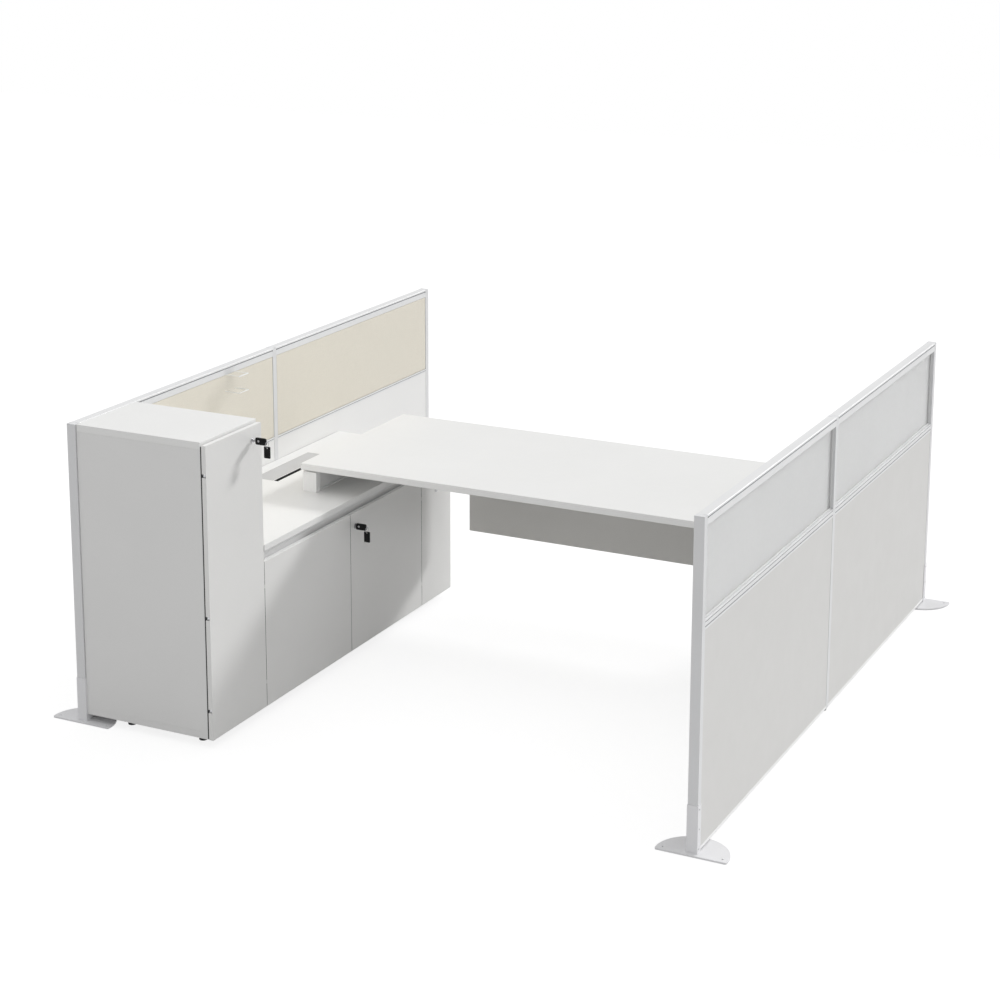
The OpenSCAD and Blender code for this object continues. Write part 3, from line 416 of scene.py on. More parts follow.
def add_plate(bm, outline, hole, half, place, rim):
    """A flat plate round its own plane, with a round hole and rims that are cut back at both faces."""
    def rings(points, inward):
        cut = shrunk(points, rim, inward)
        levels = ((cut, -half), (points, -half + rim), (points, half - rim), (cut, half))
        return [[bm.verts.new(place @ Vector((x, y, h))) for x, y in line] for line, h in levels]

    outer = rings(outline, 1)
    for a, b in zip(outer, outer[1:]):
        join_rings(bm, a, b)
    inner = rings(hole, -1)
    for a, b in zip(inner, inner[1:]):
        join_rings(bm, b, a)
    for pair in ((outer[0], inner[0]), (outer[-1], inner[-1])):
        edges = [bm.edges.get((a, b)) for ring in pair for a, b in zip(ring, ring[1:] + ring[:1])]
        bmesh.ops.triangle_fill(bm, use_beauty=True, edges=edges)
    bmesh.ops.recalc_face_normals(bm, faces=bm.faces)


def round_outline(x0, y0, x1, y1, r, steps=6):
    corners = ((x1 - r, y1 - r), (x0 + r, y1 - r), (x0 + r, y0 + r), (x1 - r, y0 + r))
    points = []
    for turn, (cx, cy) in enumerate(corners):
        for i in range(steps + 1):
            a = (turn + i / steps) * QUARTER_TURN
            points.append((cx + r * math.cos(a), cy + r * math.sin(a)))
    return points


def circle_outline(x, y, r, steps):
    angles = [math.tau * i / steps for i in range(steps)]
    return [(x + r * math.cos(a), y + r * math.sin(a)) for a in angles]


def add_screw(bm, at, sign, r, h):
    """A pan head on a face square to X, its shoulder at 'at' and its crown towards sign."""
    profile = [(sign * h * up, r * out) for up, out in PAN_SHARES]
    if sign < 0:
        profile.reverse()
    add_turned(bm, at, "x", profile, SCREW_SIDES)


def add_cross_shade(bm, at, sign, r, h):
    """Painted shade of a cross recess: dark bars for its arms on a face square to X, h out from 'at'."""
    middle = Vector(at) + Vector((sign * h, 0, 0))
    for arm in ((r, r * CROSS_WIDTH_SHARE), (r * CROSS_WIDTH_SHARE, r)):
        half = Vector((h * CROSS_DEPTH_SHARE, *arm))
        add_box(bm, middle - half, middle + half)


# Measures of the CAD pieces, and places read from the frame
SCREEN_T = 0.0345
POST_W = 0.026
# how far an infill reaches into its groove
TONGUE = 0.004
X_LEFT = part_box("near_posts")[0][0] + SCREEN_T
X_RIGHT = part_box("near_posts")[1][0] - SCREEN_T
SCREENS = ((X_LEFT - SCREEN_T / 2, -1), (X_RIGHT + SCREEN_T / 2, 1))
(_, Y_NEAR, _), (_, Y_FAR, TOP_Z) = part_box("post_caps")
# the stretches between the posts, from the near one to the far one
BAYS = ((Y_NEAR + POST_W, -POST_W / 2), (POST_W / 2, Y_FAR - POST_W))
(_, TALL_Y0, _), (TALL_X1, TALL_Y1, _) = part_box("tall_top")
LOW_Y1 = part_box("low_top")[1][1]
PARTITION_Y = (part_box("low_partition")[0][1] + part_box("low_partition")[1][1]) / 2

# Fabric pads of the left screen: a wrapped board with a rounded edge, a slight crown and a faint ripple
PAD_COLUMNS, PAD_ROWS = 96, 28
PAD_EDGE_R = 0.006
PAD_EDGE_DEPTH = 0.004
PAD_INSET = 0.0002
PAD_CROWN = 0.0009
RIPPLE = 0.00025
RIPPLES_ALONG, RIPPLES_UP = 9, 3
RIPPLE_SHIFT = 1.7


def wave_share(i, count):
    """The i-th of count steps from 0 to 1, closer together at both ends."""
    return 0.5 - 0.5 * math.cos(math.pi * i / count)


def edge_fall(share, length):
    """How full a pad is at a share of its length: 0 at its edge and 1 past the rounding."""
    d = min(share, 1 - share) * length
    return 1.0 if d >= PAD_EDGE_R else math.sqrt(max(0.0, 1 - (1 - d / PAD_EDGE_R) ** 2))


def pad_rim(grid):
    """The points round a grid, in order."""
    near, far = grid[0], grid[-1]
    foot = [column[0] for column in grid]
    top = [column[-1] for column in grid]
    return foot + far[1:] + top[-2::-1] + near[-2:0:-1]


def fabric_pad(name, node):
    lo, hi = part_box(node)
    y0, y1, z0, z1 = lo[1] + TONGUE, hi[1] - TONGUE, lo[2], hi[2] - TONGUE
    middle, half = (lo[0] + hi[0]) / 2, (hi[0] - lo[0]) / 2
    bm = bmesh.new()
    grids = []
    for side in (1, -1):
        grid = []
        for i in range(PAD_COLUMNS + 1):
            u = wave_share(i, PAD_COLUMNS)
            column = []
            for j in range(PAD_ROWS + 1):
                w = wave_share(j, PAD_ROWS)
                full = min(edge_fall(u, y1 - y0), edge_fall(w, z1 - z0))
                crown = PAD_CROWN * math.sqrt(math.sin(math.pi * u) * math.sin(math.pi * w))
                ripple = (RIPPLE * math.sin(RIPPLES_ALONG * math.pi * u + side)
                          * math.sin(RIPPLES_UP * math.pi * w + RIPPLE_SHIFT))
                out = half - PAD_EDGE_DEPTH * (1 - full) - PAD_INSET + crown + ripple * full
                column.append(bm.verts.new((middle + side * out, y0 + u * (y1 - y0), z0 + w * (z1 - z0))))
            grid.append(column)
        for i in range(PAD_COLUMNS):
            for j in range(PAD_ROWS):
                corners = (grid[i][j], grid[i + 1][j], grid[i + 1][j + 1], grid[i][j + 1])
                bm.faces.new(corners[::side])
        grids.append(grid)
    front, back = (pad_rim(grid) for grid in grids)
    join_rings(bm, back, front)
    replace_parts(piece(name, bm, "panel_fabric", smooth=True), node)


fabric_pad("fabric_pad_near", "fabric_panel_near")
fabric_pad("fabric_pad_far", "fabric_panel_far")

# Glazing beads round the glass, on both of its faces
BEAD_W, BEAD_DEPTH = 0.0060, 0.0072
BEAD_ROUNDING, BEAD_STEPS = 0.0022, 4


def glass_beads(tag):
    lo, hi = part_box("glass_panel_" + tag)
    y0, y1, z0, z1 = lo[1] + TONGUE, hi[1] - TONGUE, lo[2] + TONGUE, hi[2] - TONGUE
    low, high = z0 + BEAD_W / 2, z1 - BEAD_W / 2
    bars = ((y0, y1, z1 - BEAD_W, z1), (y0, y1, z0, z0 + BEAD_W),
            (y0, y0 + BEAD_W, low, high), (y1 - BEAD_W, y1, low, high))
    bm = bmesh.new()
    for face, out in ((hi[0], 1), (lo[0], -1)):
        xa, xb = sorted((face, face + out * BEAD_DEPTH))
        for ya, yb, za, zb in bars:
            add_box(bm, (xa, ya, za), (xb, yb, zb), BEAD_ROUNDING, BEAD_STEPS)
    piece("glass_beads_" + tag, bm, "bead")


for tag in ("near", "far"):
    glass_beads(tag)

# Dark grey gaskets in the slots of the rails; their dark tone is partly the gaskets' own and partly painted
# shade in the slots
TOP_SLOT_DROP, TOP_SLOT_H = 0.011, 0.004
RIGHT_MID_H = 0.0295
# each slot's place over the rail's foot, and its height
RIGHT_MID_SLOTS = ((0.007, 0.004), (0.023, 0.003))
LEFT_MID_SLOTS = ((0.005, 0.0025),)
GASKET_DEPTH, GASKET_SET_BACK = 0.006, 0.0006
GASKET_END_GAP, GASKET_EASE = 0.0003, 0.0002
GASKET_ROUNDING = 0.0003
SLOT_TOP_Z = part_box("top_rails")[1][2] - TOP_SLOT_DROP


def under_face(x, side, deep, shallow):
    """From a deep to a shallow distance under one face of the screen that is centred on x."""
    return sorted((x + side * (SCREEN_T / 2 - deep), x + side * (SCREEN_T / 2 - shallow)))


def slot_gaskets():
    left_mid_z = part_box("mid_rails")[0][2]
    right_mid_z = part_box("mid_rails")[1][2] - RIGHT_MID_H
    (left_x, _), (right_x, _) = SCREENS
    slots = [(x, SLOT_TOP_Z, TOP_SLOT_H) for x, _ in SCREENS]
    slots += [(right_x, right_mid_z + up, h) for up, h in RIGHT_MID_SLOTS]
    slots += [(left_x, left_mid_z + up, h) for up, h in LEFT_MID_SLOTS]
    bm = bmesh.new()
    for x, z, h in slots:
        for side in (1, -1):
            xa, xb = under_face(x, side, GASKET_DEPTH, GASKET_SET_BACK)
            for ya, yb in BAYS:
                add_box(bm, (xa, ya + GASKET_END_GAP, z + GASKET_EASE),
                        (xb, yb - GASKET_END_GAP, z + h - GASKET_EASE), GASKET_ROUNDING)
    # gasket strips: partly real gaskets, partly painted shade in the slots
    piece("slot_gaskets", bm, "gasket_grey")


slot_gaskets()

# Edge profile under each lower tile
TRIM_T, TRIM_END_GAP = 0.0009, 0.0002
TRIM_LOW, TRIM_HIGH = 0.0015, 0.0115
TRIM_ROUNDING = 0.0003


def tile_trim(side):
    bm = bmesh.new()
    for tag in ("near", "far"):
        lo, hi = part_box("_".join((side, "tile", tag)))
        y0, y1 = lo[1] + TONGUE + TRIM_END_GAP, hi[1] - TONGUE - TRIM_END_GAP
        for face, out in ((hi[0], 1), (lo[0], -1)):
            xa, xb = sorted((face, face + out * TRIM_T))
            add_box(bm, (xa, y0, lo[2] + TRIM_LOW), (xb, y1, lo[2] + TRIM_HIGH), TRIM_ROUNDING)
    piece("tile_trim_" + side, bm, "trim")


for side in ("left", "right"):
    tile_trim(side)

# Painted shade: near black blocks in the ends of the top rails' slots, at the posts, stand for the shade in
# the open slot ends
END_DEPTH, END_SET_BACK = 0.0058, 0.0004
END_START, END_STOP = 0.0002, 0.0075
END_OVER = 0.0002
END_ROUNDING = 0.0004


def slot_ends():
    bm = bmesh.new()
    slot_lo = TOP_Z - TOP_SLOT_DROP
    for x, _ in SCREENS:
        for y, away in [end for near, far in BAYS for end in ((near, 1), (far, -1))]:
            for side in (1, -1):
                xa, xb = under_face(x, side, END_DEPTH, END_SET_BACK)
                ya, yb = sorted((y + away * END_START, y + away * END_STOP))
                add_box(bm, (xa, ya, slot_lo - END_OVER),
                        (xb, yb, slot_lo + TOP_SLOT_H + END_OVER), END_ROUNDING)
    # near black blocks: painted shade
    piece("slot_ends", bm, "dark_recess")


slot_ends()

# Sleeve screws: pan heads with a cross recess, whose shade is painted as dark bars on the head
SLEEVE_T = 0.0015
SLEEVE_SCREW_IN = 0.010
SLEEVE_SCREW_HEIGHTS = (0.020, 0.086, 0.152)
HEAD_R, HEAD_H = 0.0028, 0.0012
CROSS_R, CROSS_H = 0.0015, 0.00118


def sleeve_screws():
    heads, crosses = bmesh.new(), bmesh.new()
    for x, out in SCREENS:
        face = x + out * (SCREEN_T / 2 + SLEEVE_T)
        for y in (Y_NEAR + SLEEVE_SCREW_IN, Y_FAR - SLEEVE_SCREW_IN):
            for z in SLEEVE_SCREW_HEIGHTS:
                add_screw(heads, (face, y, z), out, HEAD_R, HEAD_H)
                add_cross_shade(crosses, (face, y, z), out, CROSS_R, CROSS_H)
    screws = piece("sleeve_screw_heads", heads, "screw_steel", smooth=True)
    # dark bars: painted shade of the cross recesses
    piece("sleeve_screw_crosses", crosses, "dark_recess")
    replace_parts(screws, "sleeve_screws")


sleeve_screws()

# Levellers: pads with a rim, and threaded stems
LEVELLER_IN, LEVELLER_BACK_IN, LEG_LEVELLER_IN = 0.060, 0.150, 0.050
CABINET_STEM_TOP, LEG_STEM_TOP = 0.032, 0.014
# heights and radii of the pad
LEVELLER_PAD = [(0, 0.0142), (0.0008, 0.015), (0.0042, 0.015), (0.006, 0.0125), (0.0066, 0.0085),
                (0.0095, 0.0080)]
STEM_START, STEM_ROOT_R, STEM_CREST_R = 0.0090, 0.0052, 0.0060
THREAD_PITCH, THREAD_W, THREAD_END = 0.00125, 0.0010, 0.0011
STEM_SIDES = 20


def stem_profile(top):
    profile = []
    z = STEM_START
    while z < top - THREAD_END:
        profile += [(z, STEM_ROOT_R), (z + THREAD_W / 2, STEM_CREST_R), (z + THREAD_W, STEM_ROOT_R)]
        z += THREAD_PITCH
    return profile + [(top, STEM_ROOT_R)]


def levellers():
    leg_lo, leg_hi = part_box("leg_frame")
    leg_x = (leg_lo[0] + leg_hi[0]) / 2
    cabinet_ys = (TALL_Y0 + LEVELLER_IN, TALL_Y1 - LEVELLER_IN, TALL_Y1 + LEVELLER_IN, PARTITION_Y,
                  LOW_Y1 - LEVELLER_IN)
    feet = [(x, y, CABINET_STEM_TOP) for x in (X_LEFT + LEVELLER_BACK_IN, TALL_X1 - LEVELLER_IN)
            for y in cabinet_ys]
    feet += [(leg_x, y, LEG_STEM_TOP) for y in (leg_lo[1] + LEG_LEVELLER_IN, leg_hi[1] - LEG_LEVELLER_IN)]
    pad_mesh, stem_mesh = bmesh.new(), bmesh.new()
    for x, y, top in feet:
        add_turned(pad_mesh, (x, y, 0), "z", LEVELLER_PAD)
        add_turned(stem_mesh, (x, y, 0), "z", stem_profile(top), STEM_SIDES)
    pads = piece("leveller_pads", pad_mesh, "black_plastic")
    piece("leveller_stems", stem_mesh, "hinge_steel", smooth=True)
    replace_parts(pads, "levellers")


levellers()

# Cable brush: a carrier with a clip, a bed under the bristles, and two rows of uneven bristles
CARRIER_T, CARRIER_ROUNDING = 0.003, 0.0005
CLIP_REACH, CLIP_DROP, CLIP_FOOT, CLIP_ROUNDING = 0.0042, 0.0012, 0.0045, 0.0003
BED_TIP_GAP, BED_ROOT, BED_DROP, BED_FOOT, BED_ROUNDING = 0.0008, 0.0040, 0.0050, 0.0056, 0.0001
BRISTLES = 560
BRISTLE_R, BRISTLE_TIP_SHARE = 0.00040, 0.6
BRISTLE_ROW_DROPS = (0.0022, 0.0034)
BRISTLE_END_GAP = 0.0008
BRISTLE_SWAY, BRISTLE_SAG = 0.00035, 0.0006
BRISTLE_TIP_GAP, BRISTLE_UNEVEN = 0.0002, 0.0006
# angles from one bristle, and from one row, to the next, so that neighbours differ
SWAY_STEPS, SAG_STEPS, UNEVEN_STEPS = (12.9898, 4.1), (7.233, 2.3), (3.71, 1)


def uneven(steps, i, row):
    return math.sin(i * steps[0] + row * steps[1])


def add_bristle(bm, root, tip):
    """A four sided strand from its root to a thinner, closed tip."""
    def ring(middle, r):
        return [bm.verts.new(middle + Vector((0, dy, dz))) for dy, dz in ((-r, 0), (0, r), (r, 0), (0, -r))]

    start, end = ring(root, BRISTLE_R), ring(tip, BRISTLE_R * BRISTLE_TIP_SHARE)
    join_rings(bm, start, end)
    bm.faces.new(end)


def cable_brush():
    (x0, y0, z0), (x1, y1, z1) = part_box("cable_brush")
    bm = bmesh.new()
    add_box(bm, (x1 - CARRIER_T, y0, z0), (x1, y1, z1), CARRIER_ROUNDING)
    add_box(bm, (x1 - CLIP_REACH, y0, z1 - CLIP_FOOT), (x1 - CARRIER_T, y1, z1 - CLIP_DROP), CLIP_ROUNDING)
    add_box(bm, (x0 + BED_TIP_GAP, y0, z1 - BED_FOOT), (x1 - BED_ROOT, y1, z1 - BED_DROP), BED_ROUNDING)
    for i in range(BRISTLES):
        y = y0 + BRISTLE_END_GAP + (y1 - y0 - 2 * BRISTLE_END_GAP) * i / (BRISTLES - 1)
        for row, drop in enumerate(BRISTLE_ROW_DROPS):
            tip_x = x0 + BRISTLE_TIP_GAP + BRISTLE_UNEVEN * abs(uneven(UNEVEN_STEPS, i, row))
            tip_y = y + BRISTLE_SWAY * uneven(SWAY_STEPS, i, row)
            tip_z = z1 - drop - BRISTLE_SAG * abs(uneven(SAG_STEPS, i, row))
            add_bristle(bm, Vector((x1 - BED_ROOT, y, z1 - drop)), Vector((tip_x, tip_y, tip_z)))
    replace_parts(piece("brush_bristles", bm, "brush_black"), "cable_brush")


cable_brush()

# Keys. Each lies in a plane square to Y, and its places are measured from the lock's axis.
UPRIGHT = Matrix.Rotation(QUARTER_TURN, 4, "X")
RIDGE_SUNK = 0.0001
# start and length of the bow of each door's key
KEY_BOWS = {"tall": (0.013, 0.044), "right": (0.0035, 0.0445)}
BOW_W, BOW_T, BOW_CORNER_R, BOW_RIM = 0.025, 0.006, 0.005, 0.0009
EYE_IN, EYE_R, EYE_SIDES = 0.012, 0.0042, 24
BOW_RIDGES, BOW_RIDGE_START, BOW_RIDGE_PITCH = 5, 0.0075, 0.0038
BOW_RIDGE_W, BOW_RIDGE_L, BOW_RIDGE_PROUD, BOW_RIDGE_ROUNDING = 0.0014, 0.017, 0.0005, 0.0003
# heights and radii of the plated core in the eye and of the stud at the bow's end
CORE_BACK, CORE_SIDES = 0.0026, 28
CORE_PROFILE = [(0, 0.0030), (0.0005, 0.0041), (0.0047, 0.0041), (0.0052, 0.0030)]
STUD_IN, STUD_R, STUD_SIDES = 0.001, 0.0015, 24
STUD_PROFILE = [(0, STUD_R), (0.0045, STUD_R), (0.0046, 0.0030), (0.0055, 0.0032), (0.0060, 0.0024)]
BLADE_IN, BLADE_OVER, BLADE_T, BLADE_H, BLADE_ROUNDING = 0.0155, 0.0005, 0.0022, 0.0080, 0.0003
RIB_START, RIB_UP, RIB_T, RIB_H, RIB_ROUNDING = 0.0035, 0.0022, 0.0027, 0.0008, 0.0002
RING_OUT, RING_R, RING_WIRE_R, RING_FIT = 0.0025, 0.0105, 0.0008, 0.00005
RING_SIDES, RING_WIRE_SIDES = 64, 12
SPARE_W, SPARE_L, SPARE_T, SPARE_CORNER_R, SPARE_RIM = 0.025, 0.042, 0.004, 0.003, 0.0006
SPARE_HOLE_R, SPARE_HOLE_IN, SPARE_HOLE_SIDES = 0.0025, 0.005, 20
SPARE_RIDGES, SPARE_RIDGE_START, SPARE_RIDGE_PITCH = 4, 0.012, 0.0055
SPARE_RIDGE_W, SPARE_RIDGE_L, SPARE_RIDGE_PROUD, SPARE_RIDGE_ROUNDING = 0.0016, 0.0176, 0.0004, 0.0002
RING_Z = STUD_R + RING_FIT - RING_R + RING_WIRE_R
SPARE_HOLE_Z = RING_Z - RING_R + RING_WIRE_R + RING_FIT - SPARE_HOLE_R
SPARE_TOP_Z = SPARE_HOLE_Z + SPARE_HOLE_IN


def joint_at(name):
    for joint in frame["record"]["behaviour"]["joints"]:
        if joint["name"] == name:
            return joint["pos_m"]


def face_spans(y, half, proud):
    """From just under each face of a plate that is centred on y, to a ridge's height over it."""
    return [sorted((y + side * (half - RIDGE_SUNK), y + side * (half + proud))) for side in (1, -1)]


def key_bow(door, at, start, end):
    bm = bmesh.new()
    outline = round_outline(start, -BOW_W / 2, end, BOW_W / 2, BOW_CORNER_R)
    eye = circle_outline(start + EYE_IN, 0, EYE_R, EYE_SIDES)
    add_plate(bm, outline, eye, BOW_T / 2, Matrix.Translation(at) @ UPRIGHT, BOW_RIM)
    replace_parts(piece(door + "_key_bow", bm, "key_plastic", body=door + "_lock_plug"), door + "_key")


def key_ridges(door, at, end):
    x, y, z = at
    bm = bmesh.new()
    for ya, yb in face_spans(y, BOW_T / 2, BOW_RIDGE_PROUD):
        for i in range(BOW_RIDGES):
            xa = x + end - BOW_RIDGE_START - BOW_RIDGE_PITCH * i
            add_box(bm, (xa, ya, z - BOW_RIDGE_L / 2), (xa + BOW_RIDGE_W, yb, z + BOW_RIDGE_L / 2),
                    BOW_RIDGE_ROUNDING)
    piece(door + "_key_ridges", bm, "key_plastic", body=door + "_lock_plug")


def key_shank(door, at, start, end):
    """The plated parts: the core in the bow's eye, the blade with ribs where it shows, and the end stud."""
    x, y, z = at
    bm = bmesh.new()
    add_turned(bm, (x + start + EYE_IN, y - CORE_BACK, z), "y", CORE_PROFILE, CORE_SIDES)
    add_box(bm, (x - BLADE_IN, y - BLADE_T / 2, z - BLADE_H / 2),
            (x + start + BLADE_OVER, y + BLADE_T / 2, z + BLADE_H / 2), BLADE_ROUNDING)
    if start > RIB_START:
        for middle in (z - RIB_UP, z + RIB_UP):
            add_box(bm, (x + RIB_START, y - RIB_T / 2, middle - RIB_H / 2),
                    (x + start, y + RIB_T / 2, middle + RIB_H / 2), RIB_ROUNDING)
    add_turned(bm, (x + end - STUD_IN, y, z), "x", STUD_PROFILE, STUD_SIDES)
    piece(door + "_key_shank", bm, "lock_metal", body=door + "_lock_plug")


def key_ring(door, ring_at):
    x, y, z = ring_at
    bm = bmesh.new()
    rows = []
    for i in range(RING_SIDES):
        a = math.tau * i / RING_SIDES
        row = []
        for j in range(RING_WIRE_SIDES):
            c = math.tau * j / RING_WIRE_SIDES
            r = RING_R + RING_WIRE_R * math.cos(c)
            point = (x + RING_WIRE_R * math.sin(c), y + r * math.cos(a), z + RING_Z + r * math.sin(a))
            row.append(bm.verts.new(point))
        rows.append(row)
    for row, after in zip(rows, rows[1:] + rows[:1]):
        join_rings(bm, after, row)
    piece(door + "_key_ring", bm, "lock_metal", body=door + "_spare", smooth=True)


def spare_key(door, ring_at):
    x, y, z = ring_at
    bm = bmesh.new()
    outline = round_outline(-SPARE_W / 2, SPARE_TOP_Z - SPARE_L, SPARE_W / 2, SPARE_TOP_Z, SPARE_CORNER_R)
    hole = circle_outline(0, SPARE_HOLE_Z, SPARE_HOLE_R, SPARE_HOLE_SIDES)
    add_plate(bm, outline, hole, SPARE_T / 2, Matrix.Translation(ring_at) @ UPRIGHT, SPARE_RIM)
    spare = piece(door + "_key_spare_bow", bm, "key_plastic", body=door + "_spare")
    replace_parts(spare, door + "_spare_key")
    bm = bmesh.new()
    for ya, yb in face_spans(y, SPARE_T / 2, SPARE_RIDGE_PROUD):
        for i in range(SPARE_RIDGES):
            middle = z + SPARE_TOP_Z - SPARE_RIDGE_START - SPARE_RIDGE_PITCH * i
            add_box(bm, (x - SPARE_RIDGE_L / 2, ya, middle - SPARE_RIDGE_W / 2),
                    (x + SPARE_RIDGE_L / 2, yb, middle + SPARE_RIDGE_W / 2), SPARE_RIDGE_ROUNDING)
    piece(door + "_key_spare_ridges", bm, "key_plastic", body=door + "_spare")


def key_set(door, start, length):
    at = joint_at(door + "_lock_turn")
    end = start + length
    ring_at = (at[0] + end + RING_OUT, at[1], at[2])
    key_bow(door, at, start, end)
    key_ridges(door, at, end)
    key_shank(door, at, start, end)
    key_ring(door, ring_at)
    spare_key(door, ring_at)


for door, (start, length) in KEY_BOWS.items():
    key_set(door, start, length)

# Painted shade: dark strips beside the tall door's hinge edge, and on the carcass edges behind the gaps
# between doors, stand for the shade in these gaps
CARCASS_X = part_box("low_side_near")[1][0]
TALL_SHADE_Y0, TALL_SHADE_Y1, TALL_SHADE_T = 0.0006, 0.0032, 0.0033
TALL_SHADE_FOOT, TALL_SHADE_DROP = 0.034, 0.004
GAP_SHADE_W, GAP_SHADE_T = 0.009, 0.0014
GAP_SHADE_FOOT, GAP_SHADE_DROP = 0.060, 0.002
GAP_SHADE_SHIFT = 0.0002
GAP_SHADE_ROUNDING = 0.0003


def dust_seals():
    bm = bmesh.new()
    tall_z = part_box("tall_door")[1][2] - TALL_SHADE_DROP
    low_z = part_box("left_door")[1][2] - GAP_SHADE_DROP
    add_box(bm, (CARCASS_X, TALL_Y0 + TALL_SHADE_Y0, TALL_SHADE_FOOT),
            (CARCASS_X + TALL_SHADE_T, TALL_Y0 + TALL_SHADE_Y1, tall_z), GAP_SHADE_ROUNDING)
    for y in (TALL_Y1 - GAP_SHADE_SHIFT, PARTITION_Y):
        add_box(bm, (CARCASS_X, y - GAP_SHADE_W / 2, GAP_SHADE_FOOT),
                (CARCASS_X + GAP_SHADE_T, y + GAP_SHADE_W / 2, low_z), GAP_SHADE_ROUNDING)
    # black strips: painted shade in the gaps
    piece("dust_seals", bm, "black_plastic")


dust_seals()

# Edges of the low doors: a pale strip on top with a lip over the front, painted highlight where light falls
# on the top faces and front arrises, and a dark strip on the near edge, painted shade of the gap beside it
HIGHLIGHT_IN, HIGHLIGHT_SUNK, HIGHLIGHT_PROUD, HIGHLIGHT_ROUNDING = 0.0004, 0.0002, 0.0008, 0.0003
LIP_IN, LIP_SUNK, LIP_PROUD, LIP_FOOT, LIP_ROUNDING = 0.0006, 0.0002, 0.0004, 0.0016, 0.0002
EDGE_SHADE_IN, EDGE_SHADE_FRONT_IN, EDGE_SHADE_HALF_T = 0.0010, 0.0007, 0.0002
ARM_GAP, ARM_REACH, ARMS_APART = 0.0012, 0.03, 0.02


def arm_spans(y):
    """Lowest and highest point of each low hinge arm that lies near y, from the bottom up."""
    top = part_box("low_top")[1][2]
    points = [v.co for v in NODES["hinge_arms"].data.vertices]
    spans = []
    for z in sorted(p.z for p in points if abs(p.y - y) < ARM_REACH and p.z < top):
        if spans and z - spans[-1][1] < ARMS_APART:
            spans[-1][1] = z
        else:
            spans.append([z, z])
    return spans


def door_top_highlight(door):
    (x0, y0, _), (x1, y1, z1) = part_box(door)
    # pale strips on the top face and over the front arris: painted highlight
    bm = bmesh.new()
    add_box(bm, (x0 + HIGHLIGHT_IN, y0 + HIGHLIGHT_IN, z1 - HIGHLIGHT_SUNK), (x1 - HIGHLIGHT_IN, y1 - HIGHLIGHT_IN, z1 + HIGHLIGHT_PROUD),
            HIGHLIGHT_ROUNDING)
    add_box(bm, (x1 - LIP_SUNK, y0 + LIP_IN, z1 - LIP_FOOT), (x1 + LIP_PROUD, y1 - LIP_IN, z1 + LIP_PROUD),
            LIP_ROUNDING)
    piece(door + "_band", bm, "band", body=door)


def door_edge_shade(door):
    """A dark strip on the door's near edge, painted shade of the gap between the doors. It stops short of
    each hinge arm, which crosses the door's edge as it swings.
    """
    (x0, y0, z0), (x1, _, z1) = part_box(door)
    stops = [z0 + EDGE_SHADE_IN]
    for low, high in arm_spans(y0):
        stops += [low - ARM_GAP, high + ARM_GAP]
    stops.append(z1 - EDGE_SHADE_IN)
    bm = bmesh.new()
    for low, high in zip(stops[::2], stops[1::2]):
        add_box(bm, (x0 + EDGE_SHADE_IN, y0 - EDGE_SHADE_HALF_T, low), (x1 - EDGE_SHADE_FRONT_IN, y0 + EDGE_SHADE_HALF_T, high))
    piece(door + "_seal", bm, "black_plastic", body=door)


for door in ("left_door", "right_door", "end_door"):
    door_top_highlight(door)
    door_edge_shade(door)

# Pale strip on the desk top's near edge: a paler copy of the top's laminate, painted light on the near edge
DESK_BAND_IN, DESK_BAND_PROUD, DESK_BAND_SUNK, DESK_BAND_ROUNDING = 0.0012, 0.0005, 0.0002, 0.0002


def desk_band():
    (x0, y0, z0), (x1, _, z1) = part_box("desk_top")
    bm = bmesh.new()
    add_box(bm, (x0 + DESK_BAND_IN, y0 - DESK_BAND_PROUD, z0 + DESK_BAND_IN),
            (x1 - DESK_BAND_IN, y0 + DESK_BAND_SUNK, z1 - DESK_BAND_IN), DESK_BAND_ROUNDING)
    piece("desk_band", bm, "band")


desk_band()

# Free edge of the cable flap: a pale line on its top, painted highlight of the lit edge, and a dark strip
# towards the brush, painted shade of the slot
FLAP_EDGE_IN, FLAP_EDGE_BACK, FLAP_EDGE_FRONT = 0.0080, 0.0026, 0.0002
FLAP_EDGE_SUNK, FLAP_EDGE_PROUD = 0.0002, 0.0004
FLAP_SHADE_IN, FLAP_SHADE_SUNK, FLAP_SHADE_PROUD = 0.0070, 0.0003, 0.0007
FLAP_SHADE_FOOT, FLAP_SHADE_DROP = 0.0040, 0.0016
FLAP_ROUNDING = 0.0002


def flap_edges():
    (_, y0, _), (x1, y1, z1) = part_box("cable_flap")
    # pale strip: painted highlight of the flap's lit edge
    bm = bmesh.new()
    add_box(bm, (x1 - FLAP_EDGE_BACK, y0 + FLAP_EDGE_IN, z1 - FLAP_EDGE_SUNK),
            (x1 - FLAP_EDGE_FRONT, y1 - FLAP_EDGE_IN, z1 + FLAP_EDGE_PROUD), FLAP_ROUNDING)
    piece("flap_edge", bm, "band", body="cable_flap")
    # dark strip: painted shade of the slot beside the brush
    bm = bmesh.new()
    add_box(bm, (x1 - FLAP_SHADE_SUNK, y0 + FLAP_SHADE_IN, z1 - FLAP_SHADE_FOOT),
            (x1 + FLAP_SHADE_PROUD, y1 - FLAP_SHADE_IN, z1 - FLAP_SHADE_DROP), FLAP_ROUNDING)
    piece("flap_seal", bm, "black_plastic", body="cable_flap")


flap_edges()

# Painted highlight on the clear pen pot: opaque pale strips on its rim, its foot and the upper front edge
# stand for the light that its polished edges catch
POT_H, POT_WALL = 0.067, 0.0030
POT_BACK_GAP, POT_SUNK, POT_RIM_PROUD = 0.0002, 0.0002, 0.0006
POT_FOOT_H, POT_FOOT_SUNK, POT_FOOT_PROUD = 0.0030, 0.0003, 0.0005
POT_FRONT_H = 0.0026
POT_ROUNDING = 0.0002


